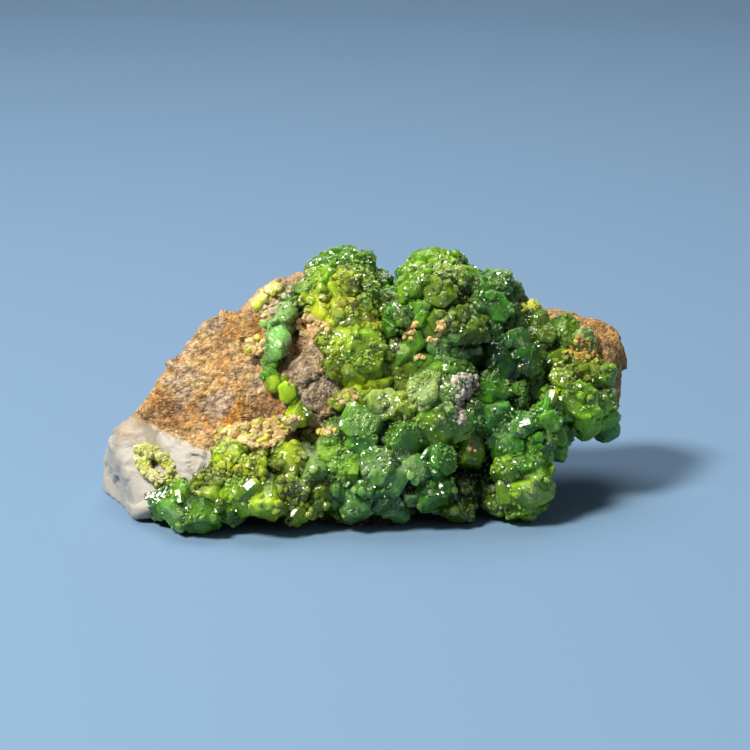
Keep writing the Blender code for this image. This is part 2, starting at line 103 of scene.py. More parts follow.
# rock
rock = {
    "centre": (-1.0, 2.5, 10.0),
    "spread": (2.1, 1.25, 1.0),
    "cuts": 118,
    "blend": 0.75,
    "seed": 5,
    "start": 52.0,              # how far out the rays begin
    "steps": 64,
    "stride": 0.8,              # share of the distance that each step takes
    "waves": ((15.0, 0.11), (9.0, 0.08)),       # pitch and height
    "wavesEach": 8,
    # middle, half sizes, roundness, lean back, lean right, yaw
    "blocks": (
        ((-1.0, 4.0, 9.5), (19.0, 10.5, 13.5), 3.0, -12.0, 0.0, 0.0),
        ((-5.8, -2.4, 15.0), (4.4, 5.2, 7.8), 2.5, -24.0, 0.0, 0.0),
        ((15.0, 6.5, 12.5), (8.5, 8.0, 10.0), 2.8, 0.0, 0.0, 0.0),
        ((26.0, 9.0, 14.6), (8.3, 6.8, 7.6), 2.5, 0.0, 14.0, 0.0),
    ),
    "slabSoft": 0.35,
    # outline corners as seen (across, up), how deep, then flat faces as
    # direction and a point on each
    "slabs": (
        (((-22.0, 1.0), (-27.3, 10.8), (-26.5, 12.9), (-24.5, 16.8), (-22.1, 21.3),
          (-20.2, 23.6), (-14.0, 23.7)), -5.0,
         (((-0.15, -0.84, 0.52), (-16.6, -3.2, 15.7)), ((0.1, 0.98, 0.15), (-16.0, 9.5, 12.0)),
          ((0.9, -0.2, 0.3), (-7.0, 0.0, 14.0)), ((0.1, -0.62, -0.78), (-20.0, -8.6, 2.6)))),
        (((-33.6, 3.6), (-33.0, 6.9), (-30.9, 9.7), (-25.4, 13.6), (-20.0, 16.5)), -3.0,
         (((-0.92, -0.39, -0.10), (-29.2, -6.9, 0.0)), ((-0.97, 0.20, -0.15), (-34.2, 4.4, 1.4)),
          ((-0.34, -0.76, 0.55), (-27.0, -6.4, 6.5)), ((-0.2, 0.95, 0.2), (-24.0, 8.4, 6.0)),
          ((0.9, 0.0, 0.3), (-12.0, 0.0, 5.0)), ((0.1, -0.62, -0.78), (-24.0, -8.8, 1.4)))),
        (((-14.8, 20.9), (-14.2, 22.8), (-12.6, 25.6), (-10.9, 27.2), (-8.6, 28.4), (-2.0, 28.6)), 6.0,
         (((-0.15, -0.90, 0.40), (-11.0, 3.6, 25.5)), ((-0.1, 0.99, 0.05), (-9.0, 13.2, 14.0)),
          ((0.95, 0.0, 0.3), (-1.0, 8.0, 20.0)))),
    ),
    # middle, reach, depth
    "pits": (
        ((-7.0, -7.0, 10.0), 2.2, 2.6), ((-8.3, -2.6, 20.8), 1.9, 1.5),
        ((-13.2, -2.2, 20.0), 1.5, 1.2), ((16.0, 8.0, 25.0), 4.5, 3.0),
        ((3.0, 15.0, 17.0), 5.0, 1.8), ((-2.5, 13.0, 25.0), 4.0, 2.0),
        ((15.0, 15.0, 9.0), 4.0, 1.6),
    ),
    "lumps": ((1.6, 0.20), (0.75, 0.16)),       # size and height of the roughness
    "grains": (0.75, 0.16),                     # size and height of the sugary grains
    "breaks": ((5.2, 0.55), (2.3, 0.30)),       # size and height of flat broken faces
}


def turned(back, right, yaw):
    # turns by degrees, first about Y, then about X, then about Z
    cx, cy, cz = (math.cos(math.radians(angle)) for angle in (back, right, yaw))
    sx, sy, sz = (math.sin(math.radians(angle)) for angle in (back, right, yaw))
    aboutX = np.array(((1, 0, 0), (0, cx, -sx), (0, sx, cx)))
    aboutY = np.array(((cy, 0, sy), (0, 1, 0), (-sy, 0, cy)))
    aboutZ = np.array(((cz, -sz, 0), (sz, cz, 0), (0, 0, 1)))
    return aboutZ @ aboutX @ aboutY


def blockGap(points, middle, half, roundness, turn):
    # power mean of the three distances over the half sizes, less one, over its own slope
    local = (points - middle) @ turn
    ratio = np.maximum(np.abs(local) / half, 1e-6)
    level = (ratio ** roundness).sum(axis=-1) ** (1.0 / roundness)
    slope = np.linalg.norm(ratio ** (roundness - 1.0) / half, axis=-1)
    return (level - 1.0) * level ** (roundness - 1.0) / slope


def roughWaves(seed):
    # sine waves in directions by chance, each with its own phase
    rng = np.random.default_rng(seed)
    pitch, height = (np.repeat(values, rock["wavesEach"]) for values in zip(*rock["waves"]))
    direction = unit(rng.normal(size=(pitch.size, 3))) * (2.0 * math.pi / pitch)[:, None]
    return direction, rng.uniform(0.0, 2.0 * math.pi, pitch.size), height


waves = roughWaves(rock["seed"])
blocks = [
    (np.array(middle), np.array(half), roundness, turned(back, right, yaw))
    for middle, half, roundness, back, right, yaw in rock["blocks"]
]


def slabPlanes(corners, depth, flats):
    # a plane along the line of sight through each outline edge, then the listed flat faces
    directions, places = [], []
    scale = (depth - sight["plane"] + sight["distance"]) / sight["distance"]
    middle = np.array(sight["middle"])
    corners = middle + (np.array(corners) - middle) * scale
    for one, two in zip(corners[:-1], corners[1:]):
        edge = unit(two - one)
        directions.append(0.996 * (-edge[1] * across + edge[0] * upward) + 0.087 * onward)
        places.append(one[0] * across + one[1] * upward + depth * onward)
    for direction, place in flats:
        directions.append(unit(np.array(direction)))
        places.append(np.array(place))
    directions = np.array(directions)
    return directions, (directions * np.array(places)).sum(axis=1)


slabs = [slabPlanes(*slab) for slab in rock["slabs"]]


def slabGap(points, directions, offsets):
    # soft maximum of the heights over the planes
    levels = points @ directions.T - offsets
    highest = levels.max(axis=-1)
    soft = rock["slabSoft"]
    return highest + soft * np.log(np.exp((levels - highest[..., None]) / soft).sum(axis=-1))


def rockGap(points):
    # slabs and blocks blended by a soft minimum, plus sine waves,
    # plus a bell-shaped dent for each pit
    gaps = [slabGap(points, *slab) for slab in slabs]
    gaps = np.array(gaps + [blockGap(points, *block) for block in blocks])
    nearest = gaps.min(axis=0)
    soft = rock["blend"]
    gap = nearest - soft * np.log(np.exp((nearest - gaps) / soft).sum(axis=0))
    direction, phase, height = waves
    gap = gap + np.sin(points @ direction.T + phase) @ height
    for middle, reach, depth in rock["pits"]:
        off = np.linalg.norm(points - np.array(middle), axis=-1) / reach
        gap = gap + depth * np.exp(-off ** 2)
    return gap


def hashed(cells, seed):
    # one number from 0 to 1 for each lattice cell
    mixed = cells[..., 0] * 73856093 ^ cells[..., 1] * 19349663 ^ cells[..., 2] * 83492791
    mixed = (mixed + seed * 2654435761) & 0xFFFFFFFF
    mixed = ((mixed ^ (mixed >> 15)) * 2246822519) & 0xFFFFFFFF
    mixed = ((mixed ^ (mixed >> 13)) * 3266489917) & 0xFFFFFFFF
    return ((mixed ^ (mixed >> 16)) & 0xFFFFFF) / float(0xFFFFFF)


def cloud(points, size, seed):
    # lattice numbers smoothly mixed between the eight corners of each cell, from -1 to 1
    place = points / size
    base = np.floor(place).astype(np.int64)
    part = smooth(place - base)
    total = np.zeros(len(points))
    for corner in range(8):
        step = np.array((corner & 1, corner >> 1 & 1, corner >> 2 & 1))
        weight = np.where(step, part, 1.0 - part).prod(axis=1)
        total += weight * hashed(base + step, seed)
    return 2.0 * total - 1.0


def pebbles(points, size, seed):
    # one less the distance to the nearest scattered point, and that point's own number
    place = points / size
    base = np.floor(place).astype(np.int64)
    best = np.full(len(points), 9.0)
    tone = np.zeros(len(points))
    for step in np.ndindex(3, 3, 3):
        cell = base + np.array(step) - 1
        spot = cell + np.stack([hashed(cell, seed + k) for k in range(3)], axis=-1)
        off = np.linalg.norm(place - spot, axis=-1)
        closer = off < best
        best[closer] = off[closer]
        tone[closer] = hashed(cell[closer], seed + 7)
    return 1.0 - np.clip(best, 0.0, 1.0), tone


def breaks(points, size, seed):
    # each point's offset from its nearest scattered point, along that one's own direction
    place = points / size
    base = np.floor(place).astype(np.int64)
    best = np.full(len(points), 9.0)
    level = np.zeros(len(points))
    for step in np.ndindex(3, 3, 3):
        cell = base + np.array(step) - 1
        off = place - cell - np.stack([hashed(cell, seed + k) for k in range(3)], axis=-1)
        facing = unit(np.stack([hashed(cell, seed + 4 + k) for k in range(3)], axis=-1) - 0.5)
        far = np.linalg.norm(off, axis=-1)
        closer = far < best
        best[closer] = far[closer]
        level[closer] = (off[closer] * facing[closer]).sum(axis=-1)
    return level


def normalsOf(gap, points):
    # direction in which the distance grows, from differences along the three axes
    step = 0.15
    parts = [gap(points + step * axis) - gap(points - step * axis) for axis in np.eye(3)]
    return unit(np.stack(parts, axis=-1))


def cubeGrid(cuts):
    # six square grids, one for each side of a cube, welded along their edges
    line = np.linspace(-1.0, 1.0, cuts + 1)
    one, two = np.meshgrid(line, line, indexing="ij")
    sides, quads = [], []
    index = np.arange((cuts + 1) ** 2).reshape(cuts + 1, cuts + 1)
    for axis in range(3):
        for sign in (-1.0, 1.0):
            side = np.empty((cuts + 1, cuts + 1, 3))
            side[..., axis] = sign
            side[..., (axis + 1) % 3] = one
            side[..., (axis + 2) % 3] = two
            loop = [index[:-1, :-1], index[1:, :-1], index[1:, 1:], index[:-1, 1:]]
            loop = loop if sign > 0 else loop[::-1]
            quads.append(np.stack(loop, axis=-1).reshape(-1, 4) + len(sides) * index.size)
            sides.append(side.reshape(-1, 3))
    points = np.concatenate(sides)
    _, first, weld = np.unique(np.round(points * 1e5).astype(int), axis=0,
                               return_index=True, return_inverse=True)
    return points[first], weld.ravel()[np.concatenate(quads)]


def addMesh(name, points, faces, tints=None, sharp=None):
    # points are moved onto the frame and put in as metres
    mesh = bpy.data.meshes.new(name)
    mesh.vertices.add(len(points))
    mesh.vertices.foreach_set("co", ((points + shift) * mm).astype(np.float32).ravel())
    corners = faces.ravel()
    mesh.loops.add(len(corners))
    mesh.loops.foreach_set("vertex_index", corners.astype(np.int32))
    mesh.polygons.add(len(faces))
    starts = np.arange(len(faces)) * faces.shape[1]
    mesh.polygons.foreach_set("loop_start", starts.astype(np.int32))
    mesh.update(calc_edges=True)
    mesh.validate()
    if tints is not None:
        for label, values in tints.items():
            kept = mesh.attributes.new(label, "FLOAT_COLOR", "CORNER")
            full = np.ones((len(corners), 4), np.float32)
            full[:, :values.shape[1]] = values[corners]
            kept.data.foreach_set("color", full.ravel())
    if sharp is not None:
        mesh.shade_smooth()
        mesh.set_sharp_from_angle(angle=math.radians(sharp))
    thing = bpy.data.objects.new(name, mesh)
    bpy.context.scene.collection.objects.link(thing)
    return thing


rockTones = {
    "tan": (0.70, 0.47, 0.20), "orange": (0.62, 0.34, 0.10), "brown": (0.34, 0.19, 0.085),
    "dark": (0.05, 0.026, 0.012), "pink": (0.60, 0.46, 0.33), "peach": (0.78, 0.55, 0.26),
    "grey": (0.44, 0.34, 0.22), "quartz": (0.40, 0.37, 0.32), "warm": (0.36, 0.27, 0.17),
    "rust": (0.60, 0.29, 0.04), "cream": (0.74, 0.60, 0.28), "yellow": (0.62, 0.56, 0.08),
    "bark": (0.42, 0.24, 0.060), "clay": (0.66, 0.57, 0.43), "fleck": (0.84, 0.60, 0.24),
    "chalk": (0.84, 0.75, 0.63),
}
# tone, across, up, half width, half height, lean in degrees, strength
rockPatches = (
    ("pink", -19.2, 22.6, 2.4, 1.6, 0.0, 0.6), ("orange", -15.6, 22.0, 2.0, 1.6, 0.0, 0.5),
    ("tan", -16.6, 17.0, 3.4, 3.6, 0.0, 0.4), ("pink", -18.0, 12.4, 2.2, 2.0, 0.0, 0.75),
    ("brown", -25.2, 10.8, 2.2, 1.6, 0.0, 0.6), ("orange", -23.6, 9.8, 3.0, 0.9, 12.0, 0.55),
    ("brown", -12.8, 11.8, 2.4, 1.6, 0.0, 0.65), ("rust", -16.3, 10.8, 0.8, 2.9, 35.0, 0.85),
    ("orange", -16.2, 14.6, 2.6, 1.0, 0.0, 0.4), ("cream", -12.8, 8.6, 3.8, 1.4, 0.0, 0.85),
    # the dark oval at -13.2, 17.9 is painted shade in the pit there
    ("cream", -13.4, 19.6, 1.4, 1.2, 0.0, 0.8), ("dark", -13.2, 17.9, 0.7, 0.9, 0.0, 0.9),
    ("pink", -11.4, 25.8, 3.4, 2.6, 0.0, 0.8), ("yellow", -12.2, 26.4, 0.9, 1.0, 0.0, 0.6),
    ("grey", -5.9, 15.2, 4.0, 6.2, 0.0, 0.85), ("peach", -6.6, 22.2, 2.2, 1.3, 0.0, 0.9),
    ("brown", -7.8, 19.8, 1.2, 1.5, 0.0, 0.75), ("quartz", -7.9, 13.0, 1.0, 1.6, 0.0, 0.45),
    ("brown", -4.0, 12.0, 1.6, 2.2, 0.0, 0.5), ("tan", -4.6, 18.8, 1.2, 2.6, 20.0, 0.5),
    # the dark oval at -7.4, 8.9 is painted shade in the pit there
    ("dark", -7.4, 8.9, 1.5, 0.9, 0.0, 1.0), ("bark", 27.0, 19.5, 7.5, 7.0, 0.0, 0.8),
    ("dark", 28.0, 20.6, 1.4, 1.2, 0.0, 0.5), ("tan", 30.6, 18.6, 1.2, 1.8, 0.0, 0.5),
    ("orange", 27.2, 22.6, 2.6, 0.9, -20.0, 0.5),
)


def rockColours(points, hollowShade):
    # tan and orange clouds, then patches as ovals with worn edges, painted shade on the undersides, and
    # quartz
    tone = {name: np.array(value) for name, value in rockTones.items()}
    side, height = sighted(points)
    fine = cloud(points, 0.6, 31)
    wide = cloud(points, 3.4, 32) + 0.6 * cloud(points, 1.3, 33)
    other = cloud(points, 4.6, 34) + 0.6 * cloud(points, 1.1, 35)
    paint = blended(tone["tan"], tone["orange"], smooth(0.42 + 0.75 * wide))
    paint = blended(paint, tone["pink"], smooth((other - 0.2) / 0.7) * 0.7)
    paint = blended(paint, tone["brown"], smooth((-other - 0.35) / 0.7) * 0.6)
    for name, middle, level, half, tall, lean, strength in rockPatches:
        turn = math.radians(lean)
        one = (side - middle) * math.cos(turn) - (height - level) * math.sin(turn)
        two = (side - middle) * math.sin(turn) + (height - level) * math.cos(turn)
        inside = 1.0 - np.hypot(one / half, two / tall) + 0.30 * wide + 0.18 * other
        paint = blended(paint, tone[name], strength * smooth(0.35 + inside / 0.5))
    # painted shade: the dark tone laid over the low undersides near the floor
    under = smooth((5.5 - points[:, 2]) / 4.5) * smooth((side + 17.0) / 3.0)
    paint = blended(paint, tone["dark"], 0.8 * under)
    edge = 10.8 - 0.40 * (side + 29.5) + 0.55 * wide
    quartz = smooth(0.5 + (edge - height) / 1.4) * smooth((-14.0 - side) / 2.0)
    milk = blended(tone["quartz"], tone["warm"], smooth(0.2 + 0.5 * wide + (height - 6.0) * 0.10))
    paint = blended(paint, milk, quartz)
    paint = paint * (1.0 + 0.14 * fine * (1.0 - 0.8 * quartz))[:, None]
    # painted shade: darker in the hollows between the grains, less on the quartz
    paint = paint * (1.0 - 0.45 * hollowShade * (1.0 - quartz))[:, None]
    return np.clip(paint, 0.0, 1.0), quartz


def rockSkin():
    # each ray from the rock's middle shortened until the distance to the rock is nil,
    # then pushed along the normal by cloud noise and grains, less on the quartz
    cube, quads = cubeGrid(rock["cuts"])
    rays = unit(unit(np.tan(cube * 0.785)) * np.array(rock["spread"]))
    centre = np.array(rock["centre"])
    reach = np.full(len(rays), rock["start"])
    for _ in range(rock["steps"]):
        reach -= rock["stride"] * rockGap(centre + rays * reach[:, None])
    points = centre + rays * reach[:, None]
    low = points[:, 2] < 0.0
    reach[low] = -centre[2] / rays[low, 2]
    points = centre + rays * reach[:, None]
    outward = normalsOf(rockGap, points)
    colours, quartz = rockColours(points, np.zeros(len(points)))
    rough = sum(height * cloud(points, size, 40 + i) for i, (size, height) in enumerate(rock["lumps"]))
    size, height = rock["grains"]
    grain, tone = pebbles(points, size, 60)
    # the hollows between the grains, where painted shade darkens the colour later
    hollowShade = smooth((0.55 - grain) / 0.35)
    rough = rough + height * (smooth(grain) * (0.6 + 0.8 * tone) - 0.45)
    rough *= 1.0 - 0.75 * quartz
    for i, (size, height) in enumerate(rock["breaks"]):
        rough += height * breaks(points + 0.3 * size * rough[:, None], size, 80 + 10 * i)
    rough *= smooth(points[:, 2] / 1.2)
    points = points + outward * rough[:, None]
    points[:, 2] = np.maximum(points[:, 2], 0.0)
    colours, quartz = rockColours(points, hollowShade)
    colours = colours * (1.0 + 0.30 * (tone - 0.5) * (1.0 - quartz))[:, None]
    return addMesh("rockStone", points, quads, {"stain": colours, "zones": quartz[:, None]}, 60.0)


rockStone = rockSkin()
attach(rockStone, "root")
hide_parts("matrix_rock")
print("rock stands:", len(rockStone.data.polygons), "faces")


# crystals: deep colour at the root and light colour at the tip, partly their own colour and partly painted
# shade at the roots
tints = {
    "lime": ((0.15, 0.27, 0.003), (0.44, 0.58, 0.025)),
    "yellow": ((0.32, 0.38, 0.003), (0.70, 0.76, 0.035)),
    "apple": ((0.055, 0.19, 0.001), (0.22, 0.43, 0.010)),
    "green": ((0.020, 0.12, 0.001), (0.095, 0.31, 0.008)),
    "emerald": ((0.010, 0.10, 0.005), (0.060, 0.26, 0.022)),
    "teal": ((0.030, 0.14, 0.020), (0.15, 0.35, 0.080)),
    "olive": ((0.045, 0.095, 0.001), (0.17, 0.26, 0.003)),
    "deep": ((0.003, 0.045, 0.001), (0.016, 0.16, 0.004)),
    "pale": ((0.13, 0.27, 0.015), (0.38, 0.54, 0.11)),
    "cream": ((0.52, 0.46, 0.16), (0.72, 0.66, 0.32)),
}

crust = {
    "seed": 21,
    "sunk": 0.57,
    "grow": 1.18,                # all the big ones' widths
    # hollowShade is painted shade: the share of colour kept where the crystals stand on the beds
    "hollowShade": 0.55,              # share of the colour kept where they stand on the beds
    "children": (2, 5),          # smaller parallel crystals on each big one
    "childWidth": (0.38, 0.72),  # against the big one's width
    "tries": 3000,               # chance places that fillers are picked from
    "fillers": 200,
    "backFillers": 130,          # on the side turned away
    "backGrow": 1.5,             # how much wider those are
    "fillerWidth": (1.8, 3.2),
    "fillerReach": 3.4,          # farthest from a big one
    "shoulder": (-6.8, 10.0),    # no fillers left of the first and above the second
    "notch": (3.4, 2.6, 24.5),   # nor between crown and dome: middle, half width, above
    "linkShare": (0.3, 0.7),     # where the streak's links stand between neighbours
    "linkScatter": 0.35,
    "linkWidth": (1.0, 1.9),
    "floor": 0.12,
    "ceiling": 32.2,
    # middle and half sizes of the swellings under the crystals
    "beds": (
        ((-2.3, 3.0, 22.0), (4.0, 5.4, 7.4)), ((-0.6, -1.4, 17.2), (4.4, 4.6, 5.6)),
        ((9.2, 2.0, 20.9), (6.2, 6.2, 8.2)), ((15.6, 4.4, 20.2), (2.6, 5.0, 6.6)),
        ((3.6, 4.2, 20.6), (4.5, 5.2, 4.8)), ((10.4, -3.6, 13.4), (6.6, 4.8, 6.0)),
        ((15.8, -2.4, 11.2), (4.2, 4.6, 5.0)), ((1.6, -5.6, 11.2), (6.4, 4.8, 5.2)),
        ((2.0, -7.6, 6.2), (9.2, 4.4, 4.6)), ((-11.6, -8.8, 4.8), (8.6, 4.2, 4.2)),
        ((-19.6, -10.4, 2.8), (3.8, 3.0, 2.4)), ((19.5, -6.5, 4.9), (2.9, 3.5, 4.4)),
        ((20.2, -4.0, 9.4), (3.4, 4.2, 4.0)), ((25.4, 3.2, 13.2), (5.0, 4.3, 5.0)),
        ((23.4, 5.2, 17.8), (3.4, 3.4, 3.4)), ((-7.4, 3.4, 25.2), (1.8, 3.4, 2.8)),
        ((-9.4, 1.6, 23.0), (1.4, 3.2, 2.4)), ((-10.4, -1.2, 20.4), (1.3, 2.8, 2.6)),
        ((12.6, -7.0, 3.6), (2.6, 2.6, 3.0)), ((17.6, 0.6, 17.0), (3.8, 3.4, 4.4)),
    ),
    # across, up, width, length, lean right, lean up, tint
    "crown": (
        (-4.8, 29.7, 3.4, 4.4, -0.4, 0.8, "emerald"), (-3.4, 30.6, 3.0, 4.6, -0.1, 1.1, "green"),
        (-1.6, 30.3, 3.6, 4.8, 0.1, 1.0, "green"), (-0.3, 29.4, 3.4, 4.4, 0.3, 0.8, "emerald"),
        (-3.1, 29.3, 3.8, 4.0, 0.0, 0.2, "green"), (-5.3, 28.7, 3.0, 3.8, -0.3, 0.3, "pale"),
        (-6.2, 27.2, 2.6, 3.4, -0.5, 0.1, "pale"), (-4.1, 27.8, 3.8, 4.0, 0.0, 0.0, "apple"),
        (-0.6, 27.6, 3.8, 4.2, 0.4, 0.2, "apple"), (-2.5, 26.2, 3.4, 3.8, 0.1, 0.0, "lime"),
        (-4.8, 26.2, 3.2, 3.6, -0.2, 0.0, "lime"), (0.2, 25.4, 3.6, 4.0, 0.4, 0.0, "apple"),
        (-6.5, 25.8, 2.6, 3.2, -0.6, 0.0, "lime"), (-4.6, 24.4, 3.8, 4.2, -0.2, -0.2, "yellow"),
        (-2.7, 24.1, 3.6, 4.0, 0.2, 0.1, "yellow"), (-6.4, 24.2, 2.2, 2.8, -0.5, -0.2, "yellow"),
        (-0.7, 23.0, 3.6, 4.0, 0.2, 0.0, "lime"), (1.6, 24.0, 4.4, 4.6, 0.3, 0.2, "pale"),
        (-3.7, 22.0, 3.6, 4.0, -0.3, 0.0, "yellow"), (-1.6, 21.0, 3.8, 4.2, 0.0, 0.0, "lime"),
        (0.8, 21.3, 4.2, 4.4, 0.3, 0.1, "lime"), (-3.9, 19.5, 3.4, 4.0, -0.4, -0.1, "lime"),
        (-2.0, 18.8, 3.8, 4.2, -0.1, -0.2, "lime"), (0.3, 18.8, 5.0, 5.0, 0.1, -0.2, "apple"),
        (-3.0, 16.9, 3.8, 4.2, -0.3, -0.3, "olive"), (-1.0, 16.0, 3.8, 4.2, 0.0, -0.4, "olive"),
        (1.0, 15.7, 2.6, 3.2, 0.2, -0.1, "lime"), (2.4, 16.8, 2.8, 3.4, 0.2, 0.0, "olive"),
        (0.3, 28.0, 2.8, 4.0, 0.2, 0.6, "green"), (2.1, 26.0, 3.0, 4.0, 0.0, 0.3, "deep"),
        (3.9, 25.6, 3.8, 4.2, 0.0, 0.3, "emerald"), (1.8, 26.2, 3.2, 3.8, 0.1, 0.3, "deep"),
        (3.8, 25.3, 3.8, 4.2, 0.1, 0.2, "emerald"), (3.6, 21.2, 3.0, 4.6, 0.1, -0.1, "lime"),
        (4.8, 18.6, 3.0, 3.6, 0.5, 0.2, "pale"), (5.2, 24.0, 3.0, 3.6, 0.2, 0.0, "deep"),
    ),
    "dome": (
        (9.6, 30.2, 4.2, 5.0, 0.0, 1.0, "apple"), (7.2, 29.0, 4.0, 4.8, -0.6, 0.7, "apple"),
        (6.2, 27.4, 3.0, 4.0, -0.5, 0.4, "apple"), (12.9, 29.2, 4.0, 4.8, 0.3, 0.8, "green"),
        (11.3, 30.0, 3.2, 4.4, 0.1, 1.0, "apple"), (10.1, 28.3, 4.0, 4.2, 0.0, 0.1, "pale"),
        (6.6, 26.2, 4.0, 4.4, -0.4, 0.0, "apple"), (13.1, 27.4, 4.0, 4.4, 0.1, 0.0, "apple"),
        (9.5, 25.7, 3.8, 4.2, 0.0, 0.0, "olive"), (7.9, 27.4, 3.6, 4.0, -0.2, 0.2, "apple"),
        (15.4, 28.3, 3.0, 4.6, 0.1, 0.7, "deep"), (17.2, 28.0, 4.0, 5.2, 0.1, 0.9, "emerald"),
        (17.8, 26.4, 4.0, 4.4, 0.3, 0.1, "emerald"), (14.4, 25.4, 4.8, 4.8, 0.0, 0.1, "green"),
        (12.6, 22.4, 4.4, 6.6, 0.0, -0.8, "olive"), (15.8, 24.2, 3.8, 4.4, 0.1, -0.2, "emerald"),
        (18.0, 24.2, 3.6, 4.2, 0.3, -0.1, "emerald"), (7.2, 23.6, 3.8, 4.0, -0.2, 0.0, "green"),
        (8.8, 22.5, 3.6, 4.0, 0.0, -0.1, "olive"), (10.9, 22.2, 3.6, 4.4, -0.1, -0.3, "pale"),
        (7.0, 20.4, 3.4, 3.8, -0.2, 0.0, "green"), (9.7, 19.6, 3.8, 4.0, 0.0, 0.2, "teal"),
        (12.3, 18.4, 3.8, 4.6, 0.2, -0.3, "deep"), (7.9, 17.8, 3.6, 4.0, -0.1, 0.0, "green"),
        (10.4, 17.3, 3.6, 4.0, 0.1, 0.1, "teal"), (8.4, 15.9, 3.0, 5.4, 2.4, 0.0, "apple"),
        (6.0, 16.0, 3.0, 3.6, -0.3, -0.1, "olive"), (4.2, 16.3, 3.2, 3.6, -0.2, 0.0, "olive"),
        (4.5, 14.3, 3.4, 3.8, -0.1, 0.0, "olive"), (19.3, 25.4, 2.8, 4.0, 0.6, 0.0, "deep"),
        (19.0, 21.8, 3.8, 4.4, 0.3, 0.0, "emerald"), (19.0, 19.7, 3.6, 4.2, 0.2, -0.3, "emerald"),
        (15.6, 21.2, 4.0, 4.4, 0.0, 0.0, "deep"), (14.9, 18.4, 4.0, 4.4, -0.1, 0.0, "deep"),
        (17.4, 17.4, 4.2, 4.4, 0.0, 0.0, "deep"), (20.4, 17.4, 4.0, 4.4, 0.1, 0.0, "deep"),
        (22.6, 17.6, 3.6, 4.2, 0.2, 0.0, "deep"), (16.9, 19.6, 3.6, 4.2, 0.1, 0.0, "deep"),
    ),
    "middle": (
        (-0.7, 13.2, 3.6, 4.2, -0.5, 0.0, "lime"), (1.9, 14.2, 3.6, 4.0, 0.0, 0.1, "olive"),
        (2.8, 11.9, 3.2, 3.8, 0.0, 0.0, "pale"), (4.7, 11.8, 3.8, 4.2, 0.2, 0.0, "lime"),
        (0.4, 14.8, 2.8, 3.4, -0.2, 0.1, "lime"), (8.1, 13.4, 4.4, 4.6, -0.2, 0.4, "pale"),
        (10.6, 13.8, 3.8, 4.2, 0.1, 0.2, "teal"), (7.2, 11.5, 3.6, 4.0, -0.2, 0.0, "apple"),
        (9.2, 10.2, 5.2, 5.8, 0.0, -0.7, "apple"), (11.6, 10.2, 3.4, 4.6, 0.2, -0.6, "olive"),
        (15.8, 14.0, 4.2, 4.6, 0.1, 0.3, "green"), (16.4, 11.2, 4.2, 5.4, 0.2, -0.6, "emerald"),
        (14.2, 11.6, 3.0, 4.2, -0.1, -0.2, "deep"), (13.1, 7.2, 5.0, 6.6, 0.0, -1.2, "olive"),
        (21.4, 15.3, 3.8, 4.2, 0.0, 0.4, "teal"), (19.5, 12.6, 3.8, 4.2, -0.1, 0.1, "green"),
        (21.8, 11.6, 3.8, 4.2, 0.1, 0.0, "green"), (20.2, 9.5, 3.8, 4.2, -0.1, 0.0, "emerald"),
        (22.8, 9.9, 4.0, 4.4, 0.2, 0.0, "green"), (19.0, 6.8, 4.4, 4.6, -0.1, 0.0, "deep"),
        (21.8, 7.0, 3.6, 4.2, 0.1, -0.1, "green"), (12.4, 16.0, 3.4, 3.8, 0.2, 0.0, "green"),
    ),
    "right": (
        (24.8, 21.2, 4.0, 5.2, 1.0, -0.3, "apple"), (27.0, 20.2, 3.4, 4.2, 0.8, -0.3, "pale"),
        (21.8, 22.2, 3.2, 4.0, 0.0, 0.3, "olive"), (20.8, 24.2, 2.8, 3.8, 0.0, 0.6, "yellow"),
        (22.3, 19.8, 3.2, 4.0, -0.1, 0.0, "olive"), (24.8, 18.0, 3.6, 4.2, 0.0, 0.0, "olive"),
        (27.6, 16.9, 3.8, 4.4, 0.3, 0.1, "lime"), (25.2, 15.2, 3.2, 4.0, -0.4, 0.2, "lime"),
        (27.0, 13.0, 4.6, 5.0, 0.0, -0.1, "apple"), (23.9, 13.2, 3.2, 4.4, -0.6, 0.0, "green"),
        (29.8, 15.6, 3.2, 4.0, 0.4, 0.2, "apple"), (29.8, 13.1, 4.0, 4.4, 0.4, 0.0, "apple"),
        (30.0, 11.0, 3.6, 4.4, 0.3, -0.3, "green"), (28.0, 10.3, 3.2, 4.6, 0.0, -0.7, "apple"),
        (30.5, 9.9, 3.2, 4.8, 0.3, -0.6, "emerald"), (25.0, 9.6, 3.6, 4.4, 0.0, -0.4, "deep"),
    ),
    "apron": (
        (-3.4, 8.5, 3.6, 4.0, -0.3, 0.1, "green"), (-5.4, 7.1, 3.8, 4.2, -0.4, 0.1, "pale"),
        (-6.4, 4.6, 4.2, 6.0, -0.1, -1.2, "teal"), (-3.7, 6.0, 3.6, 4.2, -0.1, 0.0, "apple"),
        (-1.6, 5.3, 3.4, 5.8, 0.0, -1.4, "apple"), (0.3, 10.0, 4.4, 4.8, -0.1, 0.1, "teal"),
        (0.3, 7.8, 3.6, 4.2, 0.0, 0.0, "green"), (4.5, 7.8, 5.2, 5.2, 0.3, 0.0, "green"),
        (1.9, 4.7, 4.2, 4.8, 0.0, 0.0, "teal"), (3.8, 3.4, 3.8, 4.4, 0.0, -0.2, "teal"),
        (6.6, 4.2, 3.8, 4.6, 0.1, 0.0, "teal"), (8.6, 5.2, 4.0, 5.6, 0.5, -0.2, "emerald"),
        (8.2, 1.6, 4.2, 5.6, 0.2, -1.0, "green"), (-0.3, 1.0, 4.2, 6.2, 0.0, -1.4, "teal"),
        (-3.0, -0.7, 4.8, 5.8, 0.0, -0.9, "olive"), (3.4, 0.2, 2.4, 4.8, -0.2, -1.6, "teal"),
        (5.0, 0.0, 2.6, 5.2, -0.4, -1.6, "teal"), (2.8, 1.8, 3.2, 4.2, 0.0, -0.4, "deep"),
